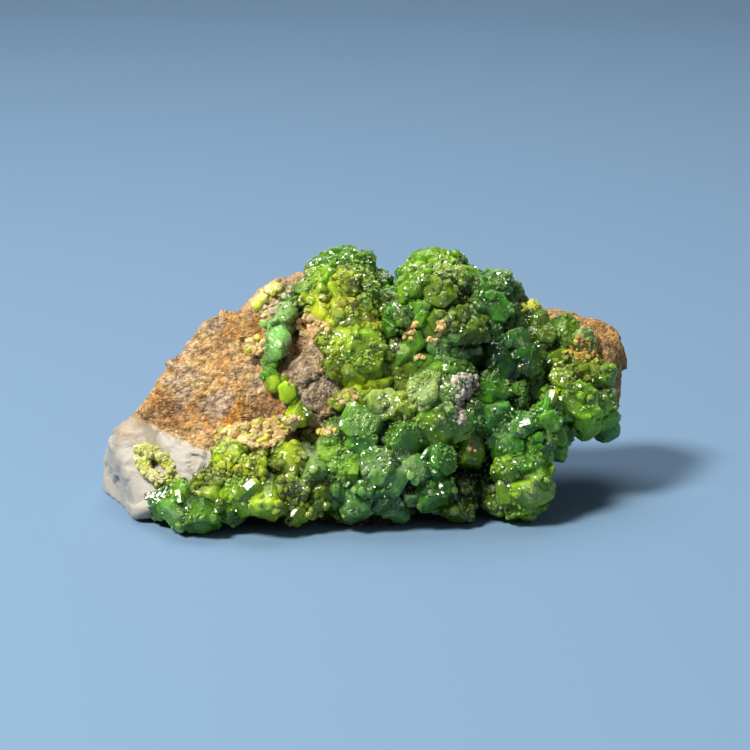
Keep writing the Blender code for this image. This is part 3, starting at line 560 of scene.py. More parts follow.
        (-3.0, 2.2, 3.2, 4.6, 0.0, -0.8, "deep"), (7.0, -0.8, 3.4, 4.4, 0.0, -0.8, "deep"),
    ),
    "fringe": (
        (-15.9, 5.4, 4.2, 5.0, -0.4, 0.0, "lime"), (-12.9, 6.2, 3.8, 4.6, 0.0, 0.5, "yellow"),
        (-9.5, 5.2, 4.0, 5.2, 0.4, -0.6, "lime"), (-14.8, 1.6, 4.4, 6.0, -0.6, -1.2, "apple"),
        (-11.9, 0.8, 4.8, 6.0, 0.0, -1.2, "lime"), (-8.2, -0.2, 2.8, 5.2, 0.2, -1.4, "lime"),
        (-9.2, 2.0, 3.4, 4.4, 0.0, -0.3, "olive"), (-18.7, 2.0, 4.2, 5.8, 0.0, -1.2, "lime"),
        (-22.0, 0.8, 3.4, 4.6, -0.6, 0.0, "apple"), (-22.6, -1.6, 4.2, 4.8, -0.5, -0.2, "green"),
        (-20.2, -2.0, 4.4, 5.0, 0.2, -0.4, "green"), (-17.2, -0.6, 3.4, 4.8, 0.3, -0.6, "deep"),
        (-5.8, 1.6, 3.2, 4.4, 0.2, -0.8, "olive"), (-16.8, 3.8, 3.2, 4.2, -0.4, 0.2, "lime"),
        (-13.6, 3.6, 3.6, 4.4, 0.0, 0.0, "lime"),
    ),
    "column": (
        (18.2, 3.0, 3.4, 6.2, -0.1, 1.4, "apple"), (21.4, 4.1, 3.4, 4.2, 0.1, 0.2, "apple"),
        (21.2, 1.9, 3.8, 4.4, 0.2, 0.0, "apple"), (20.0, 1.2, 3.8, 4.6, 0.0, 0.0, "olive"),
        (17.8, -1.0, 4.0, 5.4, -0.4, -1.0, "apple"), (20.0, -0.9, 3.6, 4.8, 0.0, -0.8, "apple"),
        (20.8, -0.9, 3.4, 4.8, 0.1, -0.8, "olive"), (20.2, 5.2, 3.4, 4.2, 0.0, 0.0, "green"),
        (12.4, -0.6, 3.8, 5.6, 0.0, -1.0, "olive"), (15.4, 0.6, 3.2, 4.4, 0.2, -0.2, "deep"),
        (15.6, 3.4, 3.4, 4.2, 0.0, 0.0, "deep"),
    ),
    "streak": (
        (-7.4, 26.6, 2.0, 2.6, -0.1, 0.1, "emerald"), (-8.5, 25.2, 2.9, 3.0, -0.2, 0.1, "emerald"),
        (-9.5, 23.6, 3.2, 3.2, -0.2, 0.1, "teal"), (-10.2, 22.0, 3.2, 3.2, 0.0, 0.0, "teal"),
        (-10.5, 20.4, 3.0, 3.0, 0.0, 0.0, "teal"), (-10.9, 18.9, 2.6, 2.8, 0.0, 0.0, "teal"),
        (-11.4, 17.4, 2.2, 2.6, 0.0, -0.2, "green"), (-11.4, 16.1, 2.0, 2.4, 0.0, -0.2, "green"),
        (-10.9, 14.9, 2.3, 2.8, 0.0, -0.1, "lime"), (-9.3, 13.8, 2.3, 2.8, 0.3, 0.1, "lime"),
        (-8.1, 11.4, 2.8, 4.0, 0.0, -0.8, "lime"),
    ),
}
smallCrystals = {"sunk": 0.3, "children": (5, 8), "childWidth": (0.3, 0.6)}
patch = {
    "seed": 31,
    "rows": (
        (-27.6, 6.5, 1.5, 1.8, 0.0, 0.0, "lime"), (-26.8, 6.4, 1.6, 1.9, 0.0, 0.0, "lime"),
        (-25.9, 6.2, 1.5, 1.8, 0.0, 0.0, "yellow"), (-27.8, 5.4, 1.4, 1.6, 0.0, 0.0, "cream"),
        (-27.1, 4.6, 1.5, 1.7, 0.0, 0.0, "yellow"), (-26.6, 3.8, 1.5, 1.7, 0.0, 0.0, "yellow"),
        (-25.9, 3.2, 1.5, 1.7, 0.0, 0.0, "cream"), (-25.1, 2.8, 1.5, 1.7, 0.0, 0.0, "yellow"),
        (-24.3, 2.9, 1.5, 1.7, 0.0, 0.0, "yellow"), (-23.9, 3.8, 1.4, 1.6, 0.0, 0.0, "cream"),
        (-24.2, 4.8, 1.4, 1.6, 0.0, 0.0, "yellow"), (-25.0, 5.6, 1.4, 1.6, 0.0, 0.0, "yellow"),
    ),
}
ledge = {
    "seed": 41,
    "rows": (
        (-10.6, 26.6, 1.5, 1.9, 0.0, 0.4, "cream"), (-11.4, 26.3, 1.6, 1.9, 0.0, 0.3, "yellow"),
        (-12.3, 25.3, 1.6, 1.9, -0.1, 0.2, "cream"), (-13.0, 24.3, 1.7, 1.9, -0.1, 0.0, "yellow"),
    ),
}


def bedGap(points):
    # distance to the nearest of the ellipsoids
    gaps = [blockGap(points, np.array(middle), np.array(half), 2.0, np.eye(3))
            for middle, half in crust["beds"]]
    return np.array(gaps).min(axis=0)


def seatGap(points):
    # distance to the rock or a bed, whichever is nearer
    return np.minimum(rockGap(points), bedGap(points))


def seats(spots):
    # each line of sight followed until it meets the rock or a bed, or passes nearest to them
    aims = spots[:, :1] * across + spots[:, 1:] * upward + sight["plane"] * onward
    rays = unit(aims - eye)
    reach = np.full(len(rays), sight["distance"] - 60.0)
    best = reach.copy()
    least = np.full(len(rays), 1e9)
    for _ in range(120):
        gap = seatGap(eye + rays * reach[:, None])
        closer = gap < least
        least[closer] = gap[closer]
        best[closer] = reach[closer]
        reach += np.where(gap > 0.02, 0.6 * gap, 0.0)
    points = eye + rays * best[:, None]
    outward = normalsOf(seatGap, points)
    return points - outward * np.maximum(least, 0.0)[:, None], outward


def hexOutlines(count, chamfer, rng):
    # six sides at uneven distances, their corners where neighbouring sides meet,
    # and each corner cut off a little way along both sides
    facing = np.arange(6) * math.pi / 3.0
    reach = 0.87 * rng.uniform(0.84, 1.14, (count, 6))
    after = np.roll(reach, -1, axis=1)
    turned60 = facing + math.pi / 3.0
    size = math.sin(math.pi / 3.0)
    x = (reach * np.sin(turned60) - after * np.sin(facing)) / size
    y = (after * np.cos(facing) - reach * np.cos(turned60)) / size
    corners = np.stack((x, y), axis=-1)
    if not chamfer:
        return corners
    before = corners + chamfer * (np.roll(corners, 1, axis=1) - corners)
    behind = corners + chamfer * (np.roll(corners, -1, axis=1) - corners)
    return np.stack((before, behind), axis=2).reshape(count, 12, 2)


def tubeFaces(rings, around):
    # triangles of a tube of rings with a pole at either end
    turn = np.arange(around)
    after = (turn + 1) % around
    low = (np.arange(rings - 1) * around)[:, None]
    high = low + around
    one = np.stack((low + turn, low + after, high + after), axis=-1).reshape(-1, 3)
    two = np.stack((low + turn, high + after, high + turn), axis=-1).reshape(-1, 3)
    top = (rings - 1) * around
    body = rings * around
    base = np.stack((after, turn, np.full(around, body)), axis=-1)
    cap = np.stack((top + turn, top + after, np.full(around, body + 1)), axis=-1)
    return np.concatenate((one, two, base, cap))


def crystalShells(growth, rng, chamfer, profile):
    # the outline carried along the axis: narrow root, barrel belly, bevel and flat end,
    # the end tilted a little
    middles, axes, spins, widths, lengths, roots, tips, frosts = growth
    count = len(middles)
    outline = hexOutlines(count, chamfer, rng) * (widths / 2.0)[:, None, None]
    around = outline.shape[1]
    skew = 0.10 * rng.normal(size=(count, 1, 1, 2))
    end = rng.uniform(0.50, 0.86, count)
    bevel = rng.uniform(0.05, 0.15, count) * (1.4 - end) / 0.6
    full = np.ones(count)
    if profile == "fine":
        heights = (-0.5 * full, -0.2 * full, 0.12 * full, 0.48 - bevel, 0.50 - 0.86 * bevel,
                   0.485 * full, 0.5 * full)
        scales = (0.74 * full, 0.95 * full, full, 0.985 * full, 0.95 * full, end + 0.04, end)
    elif profile == "plain":
        heights = (-0.5 * full, 0.0 * full, 0.5 - bevel, 0.5 * full)
        scales = (0.8 * full, full, 0.96 * full, end)
    else:
        heights = (-0.5 * full, 0.5 * full)
        scales = (full, end + 0.1)
    heights, scales = np.stack(heights, axis=1), np.stack(scales, axis=1)
    rings = heights.shape[1]
    other = np.cross(axes, spins)
    ring = outline[..., :1] * spins[:, None] + outline[..., 1:] * other[:, None]
    slide = skew[..., 0] * spins[:, None] + skew[..., 1] * other[:, None]
    slope = 0.12 * rng.normal(size=(count, 2))
    lift = (outline @ slope[:, :, None])[..., 0][:, None] * np.maximum(heights * 2.0, 0.0)[..., None]
    along = (heights * lengths[:, None])[..., None] + lift * scales[..., None]
    points = middles[:, None, None] + along[..., None] * axes[:, None, None]
    points = points + scales[..., None, None] * ring[:, None]
    points = points + (heights * lengths[:, None])[..., None, None] * slide[:, None]
    share = heights[..., None] + 0.5 + 0.05 * rng.normal(size=(count, rings, around))
    # root to tip colour: partly the crystal's own colour, partly painted shade towards the root
    tint = blended(roots[:, None, None], tips[:, None, None], smooth((share - 0.3) / 0.8))
    icy = frosts[:, None, None] * np.ones_like(share)
    tint = np.concatenate((tint, icy[..., None]), axis=-1)
    poles = np.stack((points[:, 0].mean(axis=1), points[:, -1].mean(axis=1)), axis=1)
    poleTint = np.stack((tint[:, 0].mean(axis=1), tint[:, -1].mean(axis=1)), axis=1)
    points = np.concatenate((points.reshape(count, -1, 3), poles), axis=1)
    tint = np.concatenate((tint.reshape(count, -1, 4), poleTint), axis=1)
    points[..., 2] += np.maximum(0.0, crust["floor"] - points[..., 2].min(axis=1))[:, None]
    points[..., 2] -= 1.15 * np.maximum(0.0, points[..., 2].max(axis=1) - crust["ceiling"])[:, None]
    return points, tint, tubeFaces(rings, around)


def layered(middles, radii):
    # crystals in one layer stay clear of each other, so each layer is a sound operand
    layer = np.full(len(middles), -1)
    for i in np.argsort(-radii):
        near = np.linalg.norm(middles - middles[i], axis=1) < radii + radii[i]
        taken = set(layer[near])
        layer[i] = next(k for k in range(len(middles)) if k not in taken)
    return layer


def fused(name, sets, sharp):
    # layers of crystals joined one after another into one skin
    shells, grown = [], []
    for points, tint, faces in sets:
        middle = points.mean(axis=1)
        radius = np.linalg.norm(points - middle[:, None], axis=-1).max(axis=1)
        shells += [(p, t, faces) for p, t in zip(points, tint)]
        grown.append(np.column_stack((middle, radius)))
    grown = np.concatenate(grown)
    layer = layered(grown[:, :3], grown[:, 3])
    things = []
    for level in range(layer.max() + 1):
        chosen = [shells[i] for i in np.flatnonzero(layer == level)]
        starts = np.cumsum([0] + [len(p) for p, _, _ in chosen[:-1]])
        points = np.concatenate([p for p, _, _ in chosen])
        tint = np.concatenate([t for _, t, _ in chosen])
        faces = np.concatenate([f + start for (_, _, f), start in zip(chosen, starts)])
        things.append(addMesh(f"{name}Layer{level}", points, faces, {"tint": tint}))
    first = things[0]
    for other in things[1:]:
        join = first.modifiers.new("join", "BOOLEAN")
        join.operation = "UNION"
        join.solver = "MANIFOLD"
        join.object = other
    view = bpy.context.evaluated_depsgraph_get()
    mesh = bpy.data.meshes.new_from_object(first.evaluated_get(view))
    for thing in things:
        bpy.data.objects.remove(thing, do_unlink=True)
    mesh.name = name
    mesh.materials.clear()
    mesh.shade_smooth()
    mesh.set_sharp_from_angle(angle=math.radians(sharp))
    whole = bpy.data.objects.new(name, mesh)
    bpy.context.scene.collection.objects.link(whole)
    return whole


frostOf = {
    "lime": 0.35, "yellow": 0.5, "apple": 0.4, "green": 0.35, "emerald": 0.6, "teal": 0.8,
    "olive": 0.15, "deep": 0.1, "pale": 1.0, "cream": 0.6,
}


def tintPair(names, rng):
    # root and tip colours by name, each a little lighter or darker by chance
    roots = np.array([tints[name][0] for name in names])
    tips = np.array([tints[name][1] for name in names])
    vary = rng.uniform(0.85, 1.18, (len(names), 1)) * rng.uniform(0.94, 1.06, (len(names), 3))
    return roots * vary, np.clip(tips * vary, 0.0, 0.95)


def bigCrystals(rows, sunk, grow, rng):
    # each row's crystal stands on its seat along the normal plus its leans, its colour drawn
    # towards those of the crystals near it
    spots = np.array([row[:6] for row in rows])
    points, outward = seats(spots[:, :2])
    axes = unit(outward + spots[:, 4:5] * across + spots[:, 5:6] * upward)
    middles = points + outward * (0.5 - sunk) * spots[:, 3:4]
    spins = unit(np.cross(axes, unit(rng.normal(size=axes.shape))))
    roots, tips = tintPair([row[6] for row in rows], rng)
    frosts = np.array([frostOf[row[6]] for row in rows]) * rng.uniform(0.6, 1.2, len(rows))
    off = np.linalg.norm(middles[:, None] - middles[None], axis=-1)
    nearby = np.exp(-(off / 3.2) ** 2)
    nearby /= nearby.sum(axis=1, keepdims=True)
    roots, tips = 0.45 * roots + 0.55 * nearby @ roots, 0.45 * tips + 0.55 * nearby @ tips
    return middles, axes, spins, grow * spots[:, 2], spots[:, 3], roots, tips, frosts


def childCrystals(parents, perParent, widthShare, rng):
    # near-parallel crystals that stand a little out of each big one's sides and end
    middles, axes, spins, widths, lengths, roots, tips, frosts = parents
    pick = np.repeat(np.arange(len(middles)), rng.integers(*perParent, len(middles)))
    count = len(pick)
    width = widths[pick] * rng.uniform(*widthShare, count)
    other = np.cross(axes, spins)[pick]
    turn = rng.uniform(0.0, 2.0 * math.pi, count)[:, None]
    away = np.cos(turn) * spins[pick] + np.sin(turn) * other
    axis = unit(axes[pick] + 0.07 * rng.normal(size=(count, 3)))
    spin = spins[pick] + 0.07 * rng.normal(size=(count, 3))
    spin = unit(spin - (spin * axis).sum(axis=1, keepdims=True) * axis)
    length = lengths[pick] * rng.uniform(0.45, 0.85, count)
    out = (widths[pick] * 0.5 - width * 0.36) * rng.uniform(0.5, 1.0, count)
    along = 0.5 * lengths[pick] - 0.5 * length + rng.uniform(-0.34, 0.03, count) * lengths[pick]
    middle = middles[pick] + away * out[:, None] + axes[pick] * along[:, None]
    vary = rng.uniform(0.85, 1.18, (count, 1))
    return (middle, axis, spin, width, length, roots[pick] * vary,
            np.clip(tips[pick] * vary, 0.0, 0.95), frosts[pick] * rng.uniform(0.6, 1.3, count))


def fillerCrystals(parents, rng):
    # smaller crystals by chance on the beds near big ones, in a deeper colour
    beds = np.array([middle + half for middle, half in crust["beds"]])
    share = (beds[:, 3] * beds[:, 4] * beds[:, 5]) ** (2.0 / 3.0)
    pick = rng.choice(len(beds), crust["tries"], p=share / share.sum())
    points = beds[pick, :3] + unit(rng.normal(size=(crust["tries"], 3))) * beds[pick, 3:]
    gap = seatGap(points)
    outward = normalsOf(seatGap, points)
    off = np.linalg.norm(points[:, None] - parents[0][None], axis=-1)
    near = off.argmin(axis=1)
    hidden = outward @ onward > 0.1
    bare = (gap > -0.2) & (outward[:, 2] > -0.5) & (points[:, 2] > 1.0)
    bare &= (off.min(axis=1) < crust["fillerReach"]) | (hidden & (points[:, 2] > 8.0))
    side, height = sighted(points)
    left, low = crust["shoulder"]
    bare &= ~((side < left) & (height > low))
    middle, half, low = crust["notch"]
    bare &= ~((np.abs(side - middle) < half) & (height > low))
    points, outward, near = points[bare], outward[bare], near[bare]
    hidden = hidden[bare]
    chosen = np.concatenate((np.flatnonzero(~hidden)[:crust["fillers"]],
                             np.flatnonzero(hidden)[:crust["backFillers"]]))
    points, outward, near, hidden = points[chosen], outward[chosen], near[chosen], hidden[chosen]
    width = rng.uniform(*crust["fillerWidth"], len(points)) * np.where(hidden, crust["backGrow"], 1.0)
    axes = unit(outward + 0.4 * rng.normal(size=points.shape))
    spins = unit(np.cross(axes, unit(rng.normal(size=axes.shape))))
    vary = rng.uniform(0.65, 1.1, (len(points), 1))
    return (points + outward * 0.15 * width[:, None], axes, spins, width, 1.25 * width,
            parents[5][near] * vary, np.clip(parents[6][near] * vary, 0.0, 0.95), parents[7][near])


def bedShells(parents):
    # ellipsoids under the crystals, in the deep colour of the crystals near them, made a little darker as
    # painted shade in the gaps
    count = len(crust["beds"])
    middles = np.array([middle for middle, _ in crust["beds"]])
    halves = np.array([half for _, half in crust["beds"]])
    around, rings = 28, 15
    turn = np.linspace(0.0, 2.0 * math.pi, around, endpoint=False)
    climb = np.linspace(-math.pi / 2.0, math.pi / 2.0, rings + 2)[1:-1]
    ball = np.stack((np.cos(climb)[:, None] * np.cos(turn), np.cos(climb)[:, None] * np.sin(turn),
                     np.sin(climb)[:, None] * np.ones(around)), axis=-1).reshape(-1, 3)
    ball = 0.97 * np.concatenate((ball, ((0.0, 0.0, -1.0), (0.0, 0.0, 1.0))))
    points = middles[:, None] + halves[:, None] * ball
    flat = points.reshape(-1, 3)
    near = np.linalg.norm(flat[:, None] - parents[0][None], axis=-1).argmin(axis=1)
    tint = np.concatenate((0.8 * parents[5][near], 0.4 * parents[7][near, None]), axis=1)
    points[..., 2] += np.maximum(0.0, crust["floor"] - points[..., 2].min(axis=1))[:, None]
    return points, tint.reshape(count, -1, 4), tubeFaces(rings, around)


def streakLinks(parents, rng):
    # little crystals between neighbours along the streak, so that it is one growth
    middles, axes, spins, widths, lengths, roots, tips, frosts = parents
    pick = np.repeat(np.arange(len(crust["streak"]) - 1) + len(middles) - len(crust["streak"]), 2)
    share = rng.uniform(*crust["linkShare"], (len(pick), 1))
    middle = middles[pick] + share * (middles[pick + 1] - middles[pick])
    middle = middle + crust["linkScatter"] * rng.normal(size=(len(pick), 3))
    axis = unit(axes[pick] + 0.4 * rng.normal(size=(len(pick), 3)))
    spin = unit(np.cross(axis, unit(rng.normal(size=axis.shape))))
    width = rng.uniform(*crust["linkWidth"], len(pick))
    return middle, axis, spin, width, 1.3 * width, roots[pick], tips[pick], frosts[pick]


rng = np.random.default_rng(crust["seed"])
zones = ("crown", "dome", "middle", "right", "apron", "fringe", "column", "streak")
big = bigCrystals(sum((crust[zone] for zone in zones), ()), crust["sunk"], crust["grow"], rng)
loners = len(crust["streak"])
small = childCrystals([part[:-loners] for part in big], crust["children"], crust["childWidth"], rng)
links = streakLinks(big, rng)
fill = fillerCrystals(big, rng)
sets = [
    bedShells(big),
    crystalShells(big, rng, 0.10, "fine"),
    crystalShells(small, rng, 0.10, "plain"),
    crystalShells(links, rng, 0.0, "plain"),
    crystalShells(fill, rng, 0.0, "plain"),
]
greenCrust = fused("greenCrust", sets, 9.0)


def cornerValues(thing):
    # vertex places in millimetres, each corner's vertex, and the corners' tints
    mesh = thing.data
    places = np.empty(len(mesh.vertices) * 3, np.float32)
    mesh.vertices.foreach_get("co", places)
    owners = np.empty(len(mesh.loops), np.int32)
    mesh.loops.foreach_get("vertex_index", owners)
    tint = np.empty(len(mesh.loops) * 4, np.float32)
    mesh.attributes["tint"].data.foreach_get("color", tint)
    return places.reshape(-1, 3) / mm - shift, owners, tint.reshape(-1, 4)


frostPlaces = (
    # across, up, reach, strength
    (-6.3, 6.6, 1.7, 1.0), (10.1, 28.8, 1.8, 0.8), (3.0, 11.3, 1.0, 1.0), (8.0, 13.3, 1.5, 0.9),
    (7.0, 12.2, 1.1, 0.8), (19.6, 22.7, 1.1, 0.8), (22.2, 3.7, 1.1, 0.7), (-23.6, -1.5, 1.3, 0.8),
    (-10.8, 21.0, 1.8, 0.9), (-2.6, 8.8, 2.6, 0.5), (3.5, 4.5, 2.0, 0.5), (0.5, 26.0, 1.8, 0.5),
    (-14.9, 7.2, 2.0, 0.6), (17.6, 28.8, 1.4, 0.6), (30.2, 12.6, 1.2, 0.5), (20.6, 1.6, 2.6, 0.7),
)


def icing(points):
    # a bell-shaped hill for each frosted place, as seen
    side, height = sighted(points)
    total = np.zeros(len(points))
    for middle, level, reach, strength in frostPlaces:
        total += strength * np.exp(-((side - middle) ** 2 + (height - level) ** 2) / reach ** 2)
    return np.minimum(total, 1.2)


shadePlaces = (
    # across, up, half width, half height, share of the colour that is kept in the middle
    # a share below one is painted shade in the valleys and low places; above one lightens the tint there
    (15.5, 18.3, 3.4, 3.2, 0.34), (13.6, 1.6, 3.0, 3.2, 0.38), (12.0, 22.9, 2.6, 2.6, 0.80),
    (20.4, 2.6, 3.2, 3.6, 1.6), (29.6, 10.4, 2.8, 2.0, 2.1), (-10.6, 21.4, 1.8, 2.8, 2.6),
    (28.1, 15.4, 2.6, 2.4, 0.75), (13.2, 7.4, 2.4, 2.6, 1.9), (-1.5, 6.9, 3.0, 2.6, 1.35),
    (-13.2, 0.0, 4.5, 1.8, 1.5), (-6.2, 5.0, 1.8, 2.4, 1.1), (23.0, 21.5, 2.4, 2.2, 0.55),
    (8.8, 12.9, 2.6, 2.4, 0.75), (9.0, 28.4, 3.0, 2.0, 0.85),
)


def deepened(thing):
    # tints darkened towards the beds as painted shade, then darkened as painted shade
    # or lightened by bell-shaped hills at the shade places, and frost added at the frosted places
    places, owners, tint = cornerValues(thing)
    # painted shade: darker the nearer the beds
    above = smooth((seatGap(places) + 0.1) / 2.3)
    dim = crust["hollowShade"] + (1.0 - crust["hollowShade"]) * above
    side, height = sighted(places)
    for middle, level, half, tall, kept in shadePlaces:
        # painted shade where the kept share is below one
        dim *= kept ** np.exp(-((side - middle) / half) ** 2 - ((height - level) / tall) ** 2)
    tint[:, :3] *= dim[owners, None]
    tint[:, 3] = np.clip(tint[:, 3] * 0.8 + icing(places)[owners], 0.0, 1.4)
    thing.data.attributes["tint"].data.foreach_set("color", tint.ravel())


deepened(greenCrust)
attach(greenCrust, "root")
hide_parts("pyromorphite_crust")
print("crust grown:", len(greenCrust.data.polygons), "faces")


def smallGrowth(name, plan, node):
    # a few crystals and their parallel children, fused into one skin
    chance = np.random.default_rng(plan["seed"])
    parents = bigCrystals(plan["rows"], smallCrystals["sunk"], 1.0, chance)
    children = childCrystals(parents, smallCrystals["children"], smallCrystals["childWidth"], chance)
    made = fused(name, [
        crystalShells(parents, chance, 0.10, "fine"),
        crystalShells(children, chance, 0.0, "plain"),
    ], 24.0)
    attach(made, "root")
    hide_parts(node)
    return made


def surfaceSpots(thing, count, wanted, rng):
    # places by chance on a mesh, by triangle area times how much each triangle is wanted
    mesh = thing.data
    mesh.calc_loop_triangles()
    spots, _, tint = cornerValues(thing)
    corners = np.empty(len(mesh.loop_triangles) * 3, np.int32)
    mesh.loop_triangles.foreach_get("vertices", corners)
    loops = np.empty(len(mesh.loop_triangles) * 3, np.int32)
    mesh.loop_triangles.foreach_get("loops", loops)
    tint = tint[loops.reshape(-1, 3)].mean(axis=1)
    one, two, three = (spots[corners.reshape(-1, 3)[:, k]] for k in range(3))
    facing = np.cross(two - one, three - one)
    area = np.linalg.norm(facing, axis=1)
    good = area > 1e-6
    facing[good] /= area[good, None]
    weight = np.where(good, area, 0.0) * wanted((one + two + three) / 3.0, facing, tint)
    pick = rng.choice(len(weight), count, p=weight / weight.sum())
    share = rng.uniform(size=(count, 2))
    share = np.where(share.sum(axis=1, keepdims=True) > 1.0, 1.0 - share, share)
    points = one[pick] + share[:, :1] * (two - one)[pick] + share[:, 1:] * (three - one)[pick]
    return points, facing[pick], tint[pick]


def manyShells(name, growth, rng, profile="grain", chamfer=0.0):
    # all the shells side by side in one mesh
    points, tint, faces = crystalShells(growth, rng, chamfer, profile)
    count, each = points.shape[:2]
    faces = (faces[None] + (np.arange(count) * each)[:, None, None]).reshape(-1, 3)
    return addMesh(name, points.reshape(-1, 3), faces, {"tint": tint.reshape(-1, 4)}, 3.0)


# small crystals grown all over the big ones, and a finer druse in frosted patches
buds = {
    "seed": 52,
    "count": 2000,
    "width": (0.45, 1.5),
    "lighten": 0.05,
}
druse = {
    "seed": 51,
    "count": 7800,
    "width": (0.16, 0.50),    # finest and coarsest grain, most of them fine
    "patches": 2.6,           # size of the frosted patches
    "lighten": 0.20,
    "light": (0.62, 0.72, 0.36),
}


# oval round the three lime crystals on the rock, as seen
cleanPlace = {"middle": (-9.2, 13.0), "reach": (2.8, 3.0)}


def keptClean(points):
    # nil inside the oval and one well outside it
    side, height = sighted(points)
    one = (side - cleanPlace["middle"][0]) / cleanPlace["reach"][0]
    two = (height - cleanPlace["middle"][1]) / cleanPlace["reach"][1]
    return 1.0 - np.exp(-(one ** 2 + two ** 2) ** 3)


def budWanted(points, facing, tint):
    # thinly everywhere, thickly in cloudy patches and on yellower crystals,
    # not on faces that look down
    patchy = smooth((cloud(points, 3.6, 76) + 0.5 * cloud(points, 1.2, 77) + 0.35) / 0.6)
    yellower = smooth((tint[:, 0] / tint[:, 1] - 0.5) / 0.25)
    wanted = (0.07 + patchy) * (0.45 + 1.3 * yellower)
    return wanted * smooth((facing[:, 2] + 0.7) / 0.6) * keptClean(points)


def frostWanted(points, facing, tint):
    # faces that look up or forward, inside cloudy patches, more on the icy crystals
    lookUp = smooth((facing @ unit(np.array((-0.25, -0.45, 0.85))) + 0.15) / 0.9)
    patchy = smooth((cloud(points, druse["patches"], 71) + 0.5 * cloud(points, 0.9, 72) + 0.15) / 0.5)
    return lookUp * patchy * (0.15 + tint[:, 3]) * keptClean(points)


def studded(name, plan, wanted, tilt, power, profile, sink):
    # crystals by chance on the crust, each in the tint of the spot it grows from
    chance = np.random.default_rng(plan["seed"])
    points, facing, tint = surfaceSpots(greenCrust, plan["count"], wanted, chance)
    count = len(points)
    axes = unit(facing + tilt * chance.normal(size=(count, 3)))
    spins = unit(np.cross(axes, unit(chance.normal(size=(count, 3)))))
    low, high = plan["width"]
    width = low + (high - low) * chance.uniform(0.0, 1.0, count) ** power
    length = width * chance.uniform(0.8, 1.4, count)
    light = blended(tint[:, :3], np.array(druse["light"]), plan["lighten"] * chance.uniform(0.3, 1.5, count))
    light = light * chance.uniform(0.82, 1.22, (count, 1))
    middles = points + ((0.5 - sink) * length)[:, None] * facing
    growth = (middles, axes, spins, width, length, 0.75 * light, light, np.clip(tint[:, 3], 0.0, 1.2))
    made = manyShells(name, growth, chance, profile)
    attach(made, "root")
    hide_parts("pyromorphite_crust")
    return made


smallBuds = studded("smallBuds", buds, budWanted, 0.55, 2.0, "plain", 0.70)
print("buds grown:", len(smallBuds.data.polygons), "faces")
grains = studded("drusyGrains", druse, frostWanted, 0.45, 2.5, "grain", 0.45)
print("druse grown:", len(grains.data.polygons), "faces")


lights = {
    "key": {"from": (-0.32, -0.22, 0.53), "size": 0.15, "power": 6.9, "colour": (1.0, 0.97, 0.91)},
    "fill": {"from": (0.45, -0.35, 0.35), "size": 0.5, "power": 0.35, "colour": (0.95, 0.97, 1.0)},
    "top": {"from": (-0.05, 0.25, 0.55), "size": 0.4, "power": 2.4, "colour": (0.97, 0.98, 1.0)},
}


def cast(things, spots):
    # where the line of sight through each spot first meets one of the pieces
    aims = spots[:, :1] * across + spots[:, 1:] * upward + sight["plane"] * onward
    origin = Vector((eye + shift) * mm)
    found, met = [], []
    for i, ray in enumerate(unit(aims - eye)):
        hits = [thing.ray_cast(origin, Vector(ray)) for thing in things]
        hits = [(place, facing) for hit, place, facing, _ in hits if hit]
        if hits:
            place, facing = min(hits, key=lambda hit: (hit[0] - origin).length)
            found.append((*place, *facing))
            met.append(i)
    found = np.array(found)
    return found[:, :3] / mm - shift, found[:, 3:], np.array(met)


def ovalSpots(middle, half, lean, count, rng):
    # places by chance in an oval with a wavy rim, closer together towards its middle
    turn = rng.uniform(0.0, 2.0 * math.pi, count)
    reach = rng.uniform(0.0, 1.0, count) ** 0.6 * (1.0 + 0.22 * np.sin(3.0 * turn + rng.uniform(0.0, 6.0)))
    one, two = half[0] * reach * np.cos(turn), half[1] * reach * np.sin(turn)
    c, s = math.cos(math.radians(lean)), math.sin(math.radians(lean))
    return np.stack((middle[0] + c * one - s * two, middle[1] + s * one + c * two), axis=-1)


bright = {
    "seed": 71,
    # across, up, width, length, lean right and up of the long side,
    # how far the bright side is turned off, tint
    "rows": (
        (-14.5, 1.5, 2.8, 3.6, 0.67, 0.74, 0.0, "lime"), (-8.2, -1.1, 1.7, 2.2, 0.5, 0.85, 0.0, "lime"),
        (-23.0, 0.7, 1.4, 1.9, -0.3, 0.95, 0.0, "apple"), (23.9, 13.0, 1.3, 2.2, 0.2, 0.98, 0.0, "lime"),
        (24.9, 12.6, 0.9, 1.7, 0.2, 0.98, 0.1, "lime"), (30.1, 12.4, 1.1, 1.5, 0.3, 0.9, 0.0, "apple"),
        (17.9, 2.2, 3.0, 4.8, -0.1, 1.0, 0.16, "pale"), (20.5, 9.8, 1.5, 1.8, 1.0, 0.3, 0.0, "green"),
        (4.9, 18.5, 2.3, 2.9, 0.45, 0.9, 0.25, "pale"), (2.7, 10.8, 1.3, 1.6, 0.9, 0.4, 0.1, "lime"),
        (7.8, 5.7, 0.9, 2.4, 0.5, 0.85, 0.1, "teal"), (18.3, 29.0, 1.0, 1.4, 0.1, 1.0, 0.0, "emerald"),
        (-2.0, 22.6, 1.1, 1.5, 0.9, 0.3, 0.0, "yellow"), (-6.3, 7.9, 1.4, 1.5, 0.9, 0.4, 0.1, "pale"),
        (-10.9, 22.4, 1.0, 1.5, 0.4, 0.9, 0.1, "teal"), (22.9, 2.6, 0.9, 1.2, 0.8, 0.4, 0.0, "apple"),
    ),
}


